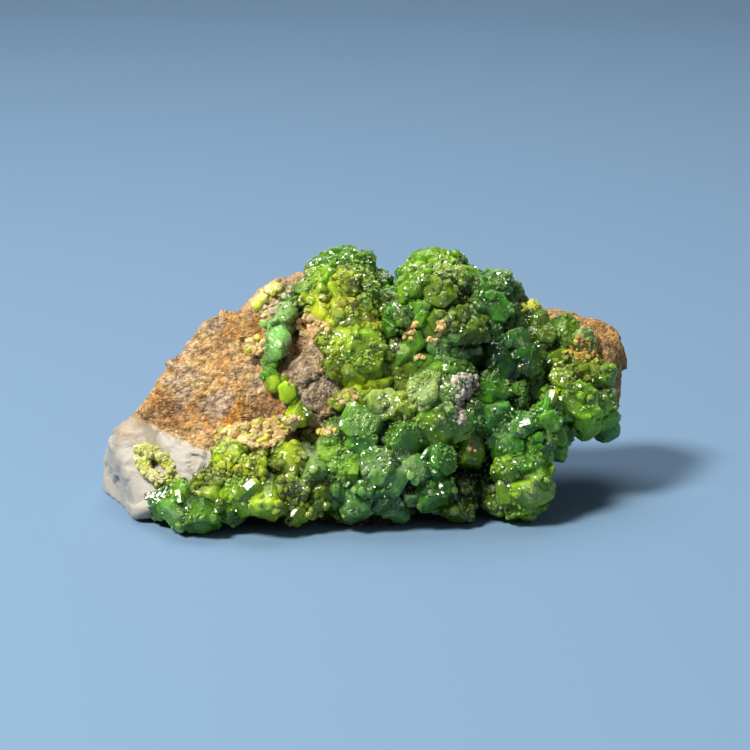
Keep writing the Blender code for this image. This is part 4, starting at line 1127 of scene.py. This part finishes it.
def brightCrystals():
    # crystals half sunk in the crust, one side turned halfway between the key light and the eye
    chance = np.random.default_rng(bright["seed"])
    plan = np.array([row[:7] for row in bright["rows"]])
    points, _, met = cast([greenCrust], plan[:, :2])
    plan, names = plan[met], [bright["rows"][i][7] for i in met]
    lamp = np.array(lights["key"]["from"]) / mm - shift
    facing = unit(unit(lamp - points) + unit(eye - points))
    facing = unit(facing - plan[:, 6:] * upward)
    axes = plan[:, 4:5] * across + plan[:, 5:6] * upward
    axes = unit(axes - (axes * facing).sum(axis=1, keepdims=True) * facing)
    roots, tips = tintPair(names, chance)
    middles = points + facing * (0.55 - 0.40 * plan[:, 2:3])
    growth = (middles, axes, facing, plan[:, 2], plan[:, 3], roots, tips, 0.2 * np.ones(len(met)))
    made = manyShells("brightCrystals", growth, chance, "plain", 0.06)
    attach(made, "root")
    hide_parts("pyromorphite_crust")
    return made


brightFaces = brightCrystals()
print("bright faces set:", len(brightFaces.data.polygons), "faces")

toePatch = smallGrowth("toePatch", patch, "patch_crystals")
ledgeTuft = smallGrowth("ledgeTuft", ledge, "ledge_crystals")
print("patch and ledge grown")

# crumbly ground: middle, half sizes, lean, how many, finest and coarsest, tones
crumbs = {
    "seed": 61,
    "rock": (
        ((-13.2, 8.7), (4.6, 1.6), 4.0, 300, (0.4, 1.3), ("cream", "cream", "cream", "tan", "yellow")),
        ((-9.6, 9.9), (1.8, 1.1), 20.0, 80, (0.4, 1.2), ("cream", "tan", "cream")),
        ((-5.0, 8.9), (2.2, 0.5), 0.0, 60, (0.4, 0.9), ("cream", "tan", "yellow")),
        ((-13.3, 19.6), (1.3, 1.1), 0.0, 60, (0.4, 1.1), ("cream", "yellow", "tan")),
        ((-11.6, 25.6), (2.6, 1.8), 30.0, 90, (0.4, 1.2), ("clay", "cream", "pink", "yellow")),
        ((-6.4, 22.2), (2.1, 1.1), -10.0, 150, (0.4, 1.1), ("peach", "cream", "tan")),
        ((-2.0, 13.2), (1.6, 0.8), 20.0, 40, (0.4, 0.9), ("tan", "cream")),
        ((13.0, 14.7), (1.4, 1.5), 0.0, 190, (0.25, 0.9), ("chalk", "chalk", "pink")),
        ((12.3, 11.4), (0.8, 1.7), 8.0, 120, (0.2, 0.7), ("chalk", "clay")),
        ((6.3, 21.7), (0.45, 1.0), -15.0, 16, (0.3, 0.75), ("fleck",)),
        ((5.4, 21.2), (0.35, 0.5), 0.0, 8, (0.3, 0.7), ("fleck", "tan")),
        ((9.8, 22.0), (0.45, 1.0), -20.0, 16, (0.3, 0.75), ("fleck",)),
        ((8.8, 20.5), (0.6, 0.3), 0.0, 10, (0.3, 0.7), ("fleck", "cream")),
        ((7.2, 18.2), (0.7, 0.3), 10.0, 9, (0.3, 0.7), ("fleck", "cream")),
        ((12.2, 29.6), (0.35, 0.35), 0.0, 4, (0.3, 0.5), ("fleck",)),
        ((-2.9, 27.6), (0.4, 0.5), 0.0, 5, (0.25, 0.45), ("rust",)),
        ((13.6, 6.8), (0.6, 0.8), 0.0, 9, (0.3, 0.6), ("fleck", "rust")),
        ((27.4, 19.0), (2.0, 1.4), -20.0, 60, (0.3, 0.9), ("bark", "orange", "yellow")),
    ),
    "patch": (
        ((-26.8, 6.4), (1.7, 0.6), -8.0, 90, (0.35, 0.95), ("yellow", "yellow", "cream")),
        ((-27.3, 4.9), (0.9, 1.1), 0.0, 80, (0.35, 0.9), ("cream", "yellow")),
        ((-26.1, 3.1), (1.5, 0.8), -35.0, 110, (0.35, 0.95), ("yellow", "cream", "cream")),
        ((-23.9, 3.3), (0.7, 1.3), 10.0, 80, (0.35, 0.9), ("yellow", "cream")),
        ((-25.1, 5.5), (0.8, 0.5), 0.0, 40, (0.35, 0.8), ("yellow", "cream")),
        ((-27.1, 4.3), (0.5, 0.4), 0.0, 14, (0.3, 0.6), ("rust", "fleck")),
    ),
}


def crumble(name, fields, things, chance, shades):
    # angular grains half sunk where the line of sight meets the pieces
    spots, widths, tones = [], [], []
    for middle, half, lean, count, (low, high), names in fields:
        spots.append(ovalSpots(middle, half, lean, count, chance))
        widths.append(low + (high - low) * chance.uniform(0.0, 1.0, count) ** 2)
        tones += [shades[names[i]] for i in chance.integers(0, len(names), count)]
    points, facing, met = cast(things, np.concatenate(spots))
    width = np.concatenate(widths)[met]
    tone = np.array(tones)[met] * chance.uniform(0.75, 1.2, (len(met), 1))
    count = len(met)
    axes = unit(facing + 0.9 * chance.normal(size=(count, 3)))
    spins = unit(np.cross(axes, unit(chance.normal(size=(count, 3)))))
    length = width * chance.uniform(0.6, 1.2, count)
    growth = (points + 0.05 * width[:, None] * facing, axes, spins, width, length,
              0.8 * tone, np.clip(tone, 0.0, 0.95), np.ones(count))
    made = manyShells(name, growth, chance, "plain")
    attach(made, "root")
    return made


chance = np.random.default_rng(crumbs["seed"])
rockCrumbs = crumble("rockCrumbs", crumbs["rock"], [rockStone, greenCrust], chance,
                     {name: np.array(tone) for name, tone in rockTones.items()})
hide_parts("matrix_rock")
patchCrumbs = crumble("patchCrumbs", crumbs["patch"], [rockStone, toePatch], chance, {
    "yellow": np.array((0.56, 0.58, 0.10)), "cream": np.array((0.70, 0.66, 0.34)),
    "rust": np.array(rockTones["rust"]), "fleck": np.array(rockTones["fleck"]),
})
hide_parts("patch_crystals")
print("crumbs strewn:", len(rockCrumbs.data.polygons) + len(patchCrumbs.data.polygons), "faces")


# materials
class Wire:
    # a socket that can be used in sums
    def __init__(self, board, socket):
        self.board, self.socket = board, socket

    def sums(self, kind, one, two):
        return self.board.node("ShaderNodeMath", {"operation": kind}, {0: one, 1: two})

    def __add__(self, other):
        return self.sums("ADD", self, other)

    def __radd__(self, other):
        return self.sums("ADD", other, self)

    def __sub__(self, other):
        return self.sums("SUBTRACT", self, other)

    def __rsub__(self, other):
        return self.sums("SUBTRACT", other, self)

    def __mul__(self, other):
        return self.sums("MULTIPLY", self, other)

    def __rmul__(self, other):
        return self.sums("MULTIPLY", other, self)


class Board:
    # a new material with its nodes
    def __init__(self, name):
        self.material = bpy.data.materials.new(name)
        self.material.use_nodes = True
        self.tree = self.material.node_tree
        self.tree.nodes.clear()

    def node(self, kind, settings=None, values=None, output=0):
        made = self.tree.nodes.new(kind)
        for key, value in (settings or {}).items():
            setattr(made, key, value)
        for key, value in (values or {}).items():
            if isinstance(value, Wire):
                self.tree.links.new(value.socket, made.inputs[key])
            else:
                made.inputs[key].default_value = value
        return Wire(self, made.outputs[output]) if made.outputs else None

    def place(self):
        return self.node("ShaderNodeTexCoord", output="Object")

    def noise(self, place, size, detail, rough):
        values = {"Vector": place, "Scale": 1000.0 / size, "Detail": detail, "Roughness": rough}
        return self.node("ShaderNodeTexNoise", None, values)

    def cells(self, place, size, output):
        values = {"Vector": place, "Scale": 1000.0 / size}
        return self.node("ShaderNodeTexVoronoi", None, values, output)

    def tilted(self, place, size):
        # each cell's own slope: offset from the cell's middle along the cell's own direction
        plan = {"Vector": place, "Scale": 1000.0 / size}
        cell = self.node("ShaderNodeTexVoronoi", None, plan, "Position")
        colour = Wire(self, cell.socket.node.outputs["Color"])
        off = self.node("ShaderNodeVectorMath", {"operation": "SUBTRACT"}, {0: place, 1: cell})
        along = self.node("ShaderNodeVectorMath", {"operation": "SUBTRACT"}, {0: colour, 1: (0.5, 0.5, 0.5)})
        return self.node("ShaderNodeVectorMath", {"operation": "DOT_PRODUCT"}, {0: off, 1: along}, "Value")

    def steps(self, value, low, high):
        values = {"Value": value, "From Min": low, "From Max": high}
        return self.node("ShaderNodeMapRange", {"interpolation_type": "SMOOTHSTEP"}, values)

    def mixed(self, share, one, two, kind="MIX"):
        settings = {"data_type": "RGBA", "blend_type": kind}
        one = one if isinstance(one, Wire) else (*one, 1.0)
        two = two if isinstance(two, Wire) else (*two, 1.0)
        return self.node("ShaderNodeMix", settings, {0: share, 6: one, 7: two}, 2)

    def kept(self, label):
        return self.node("ShaderNodeAttribute", {"attribute_name": label}, None, "Color")

    def parts(self, colour, which):
        return self.node("ShaderNodeSeparateColor", None, {"Color": colour}, which)

    def bump(self, height, strength, distance):
        values = {"Height": height, "Strength": strength, "Distance": distance}
        return self.node("ShaderNodeBump", None, values)

    def finish(self, shader):
        self.node("ShaderNodeOutputMaterial", None, {"Surface": shader})
        return self.material


crystalFinish = {
    "gloss": (0.11, 0.17),      # roughness of clear faces and of frosted ones
    "bend": 1.62,
    "glow": 1.0,
    "glowDepth": 0.0026,
    "glowReach": (0.8, 1.0, 0.2),
    "frost": 0.30,
    "ice": (0.56, 0.68, 0.34),
    "mosaic": (1.5, 0.11),      # size in mm and tilt of the flat parts of each face
    "facets": (0.7, 0.17),
    "glitter": (0.21, 0.28, 0.75),   # size, tilt, and tilt added at the frosted places
    "wave": 0.00016,
}


def crystalMaterial(name, plan):
    board = Board(name)
    place = board.place()
    tint = board.kept("tint")
    icy = board.node("ShaderNodeAttribute", {"attribute_name": "tint"}, None, "Alpha")
    cloudy = board.noise(place, 2.6, 4.0, 0.6)
    speck = board.noise(place, 0.40, 3.0, 0.65)
    frost = board.steps(icy * 0.20 + cloudy * 0.8 + speck * 0.35, 0.66, 0.84)
    depth = board.steps(board.noise(place, 2.0, 4.0, 0.6), 0.32, 0.68)
    darker = board.mixed(0.6, tint, tint, "MULTIPLY")
    paint = board.mixed(depth, darker, tint)
    paint = board.mixed(frost * plan["frost"], paint, plan["ice"])
    size, tilt = plan["mosaic"]
    relief = board.tilted(place, size) * tilt
    size, tilt = plan["facets"]
    relief = relief + board.tilted(place, size) * tilt
    size, tilt, more = plan["glitter"]
    relief = relief + board.tilted(place, size) * (frost * more + tilt)
    relief = relief + board.noise(place, 1.1, 3.0, 0.55) * plan["wave"]
    bumped = board.bump(relief, 1.0, 1.0)
    low, high = plan["gloss"]
    rough = frost * (high - low) + low
    shader = board.node("ShaderNodeBsdfPrincipled", {"subsurface_method": "RANDOM_WALK"}, {
        "Base Color": paint, "Roughness": rough, "IOR": plan["bend"], "Normal": bumped,
        "Subsurface Weight": plan["glow"], "Subsurface Scale": plan["glowDepth"],
        "Subsurface Radius": plan["glowReach"],
    })
    return board.finish(shader)


grainFinish = {
    "gloss": 0.16,
    "bend": 1.75,
    "glow": 0.3,
    "glowDepth": 0.0005,
    "glowReach": (0.8, 1.0, 0.3),
    "wave": 0.00003,
}


def grainMaterial(name, plan):
    board = Board(name)
    relief = board.noise(board.place(), 0.25, 2.0, 0.5) * plan["wave"]
    shader = board.node("ShaderNodeBsdfPrincipled", {"subsurface_method": "RANDOM_WALK"}, {
        "Base Color": board.kept("tint"), "Roughness": plan["gloss"], "IOR": plan["bend"],
        "Normal": board.bump(relief, 1.0, 1.0), "Subsurface Weight": plan["glow"],
        "Subsurface Scale": plan["glowDepth"], "Subsurface Radius": plan["glowReach"],
    })
    return board.finish(shader)


grains.data.materials.append(grainMaterial("crystalDruse", grainFinish))
greenCrust.data.materials.append(crystalMaterial("greenCrystal", crystalFinish))
smallBuds.data.materials.append(greenCrust.data.materials[0])
brightFaces.data.materials.append(crystalMaterial("clearCrystal", {
    **crystalFinish, "gloss": (0.20, 0.26), "mosaic": (1.1, 0.07), "facets": (0.6, 0.10),
    "glitter": (0.21, 0.16, 0.20), "wave": 0.00005,
}))
toePatch.data.materials.append(crystalMaterial("yellowCrystal", {**crystalFinish, "frost": 0.5}))
ledgeTuft.data.materials.append(crystalMaterial("creamCrystal", {**crystalFinish, "frost": 0.6}))

rockFinish = {
    "rough": (0.55, 0.92),
    "grit": (0.36, 0.85),       # sizes of the fine and the coarse grains
    "bump": 0.00034,
    "sparks": (0.84, 0.72, 0.54),
    "specks": (0.12, 0.060, 0.025),
    "quartzRough": 0.42,
    "quartzGlow": 0.6,
    "quartzDepth": 0.0016,
    "quartzReach": (1.0, 0.85, 0.7),
    "milk": (0.48, 0.45, 0.38),
    "grime": (0.22, 0.16, 0.10),
}


def rockMaterial(name, plan):
    board = Board(name)
    place = board.place()
    stain = board.kept("stain")
    quartz = board.parts(board.kept("zones"), "Red")
    fine, coarse = plan["grit"]
    speck = board.noise(place, 0.26, 3.0, 0.7)
    gritTone = board.parts(board.cells(place, fine, "Color"), "Red")
    lumpTone = board.parts(board.cells(place, coarse, "Color"), "Green")
    shade = board.mixed(1.0, stain, stain, "MULTIPLY")
    paint = board.mixed(board.steps(gritTone + lumpTone * 0.5, 1.15, 0.1) * 0.75, stain, shade)
    paint = board.mixed(board.steps(gritTone, 0.86, 1.0) * 0.35, paint, plan["sparks"])
    paint = board.mixed(board.steps(speck, 0.44, 0.30) * 0.55, paint, plan["specks"])
    height = board.cells(place, fine, "Distance") * -0.7 + board.cells(place, coarse, "Distance") * -0.7
    height = height + speck
    bumped = board.bump(height, 1.0, plan["bump"])
    low, high = plan["rough"]
    gloss = board.steps(gritTone, 0.86, 0.98)
    stone = board.node("ShaderNodeBsdfPrincipled", None, {
        "Base Color": paint, "Roughness": high - gloss * (high - low), "Normal": bumped,
    })
    cloudy = board.steps(board.noise(place, 1.6, 4.0, 0.6), 0.35, 0.7)
    milk = board.mixed(cloudy * 0.25, stain, plan["milk"])
    grime = board.steps(board.noise(place, 0.9, 4.0, 0.65), 0.42, 0.26)
    milk = board.mixed(grime * 0.35, milk, plan["grime"])
    waxy = board.bump(board.noise(place, 0.8, 5.0, 0.65), 0.6, 0.0003)
    glass = board.node("ShaderNodeBsdfPrincipled", None, {
        "Base Color": milk, "Roughness": plan["quartzRough"], "Normal": waxy,
        "Subsurface Weight": plan["quartzGlow"], "Subsurface Scale": plan["quartzDepth"],
        "Subsurface Radius": plan["quartzReach"],
    })
    share = board.steps(quartz, 0.35, 0.65)
    return board.finish(board.node("ShaderNodeMixShader", None, {0: share, 1: stone, 2: glass}))


def crumbMaterial(name, gloss):
    board = Board(name)
    place = board.place()
    speck = board.noise(place, 0.22, 3.0, 0.7)
    tint = board.kept("tint")
    paint = board.mixed(board.steps(speck, 0.60, 0.36) * 0.7, tint, board.mixed(0.7, tint, tint, "MULTIPLY"))
    shader = board.node("ShaderNodeBsdfPrincipled", None, {
        "Base Color": paint, "Roughness": gloss, "Normal": board.bump(speck, 1.0, 0.00012),
    })
    return board.finish(shader)


rockCrumbs.data.materials.append(crumbMaterial("crumbs", 0.75))
patchCrumbs.data.materials.append(crumbMaterial("yellowCrumbs", 0.35))
rockStone.data.materials.append(rockMaterial("rockAndQuartz", rockFinish))
print("materials made")

# floor, lights and camera
stagePlan = {
    "width": 1.6,
    "front": -1.3,
    "back": 0.45,
    "bend": 0.35,
    "rise": 0.9,
    "colour": (0.140, 0.237, 0.357),
    "aim": (0.0, 0.0, 0.014),
    "air": (0.94, 0.95, 0.94),
    "airStrength": 0.10,
}


def sweep(plan):
    # a flat floor that bends up into a wall: a quarter circle between two straight runs
    turn = np.linspace(0.0, math.pi / 2.0, 24)
    bend = plan["bend"]
    profile = [(plan["front"], 0.0)] + [
        (plan["back"] + bend * math.sin(a), bend * (1.0 - math.cos(a))) for a in turn
    ] + [(plan["back"] + bend, plan["rise"])]
    profile = np.array(profile)
    half = plan["width"] / 2.0
    points = np.array([(x, y, z) for y, z in profile for x in (-half, half)]) / mm - shift
    index = np.arange(len(profile) - 1) * 2
    faces = np.stack((index, index + 1, index + 3, index + 2), axis=-1)
    floor = addMesh("paperSweep", points, faces, None, 60.0)
    board = Board("palePaper")
    shader = board.node("ShaderNodeBsdfPrincipled", None, {
        "Base Color": (*plan["colour"], 1.0), "Roughness": 0.85,
    })
    floor.data.materials.append(board.finish(shader))


sweep(stagePlan)

for label, plan in lights.items():
    lamp = bpy.data.lights.new(label, "AREA")
    lamp.size = plan["size"]
    lamp.energy = plan["power"]
    lamp.color = plan["colour"]
    holder = bpy.data.objects.new(label, lamp)
    holder.location = plan["from"]
    aim = Vector(stagePlan["aim"]) - holder.location
    holder.rotation_euler = aim.to_track_quat("-Z", "Y").to_euler()
    bpy.context.scene.collection.objects.link(holder)

world = bpy.data.worlds.new("studio")
world.use_nodes = True
backdrop = world.node_tree.nodes["Background"]
backdrop.inputs["Color"].default_value = (*stagePlan["air"], 1.0)
backdrop.inputs["Strength"].default_value = stagePlan["airStrength"]
bpy.context.scene.world = world
bpy.context.scene.view_settings.view_transform = "Standard"

camera = bpy.data.objects.new("camera", bpy.data.cameras.new("camera"))
camera.data.sensor_width = 36.0
camera.data.lens = sight["lens"]
camera.data.clip_start = 0.01
camera.location = Vector((eye + shift) * mm)
camera.rotation_euler = (math.radians(90.0 - sight["drop"]), 0.0, 0.0)
bpy.context.scene.collection.objects.link(camera)
bpy.context.scene.camera = camera
print("lights and camera set")
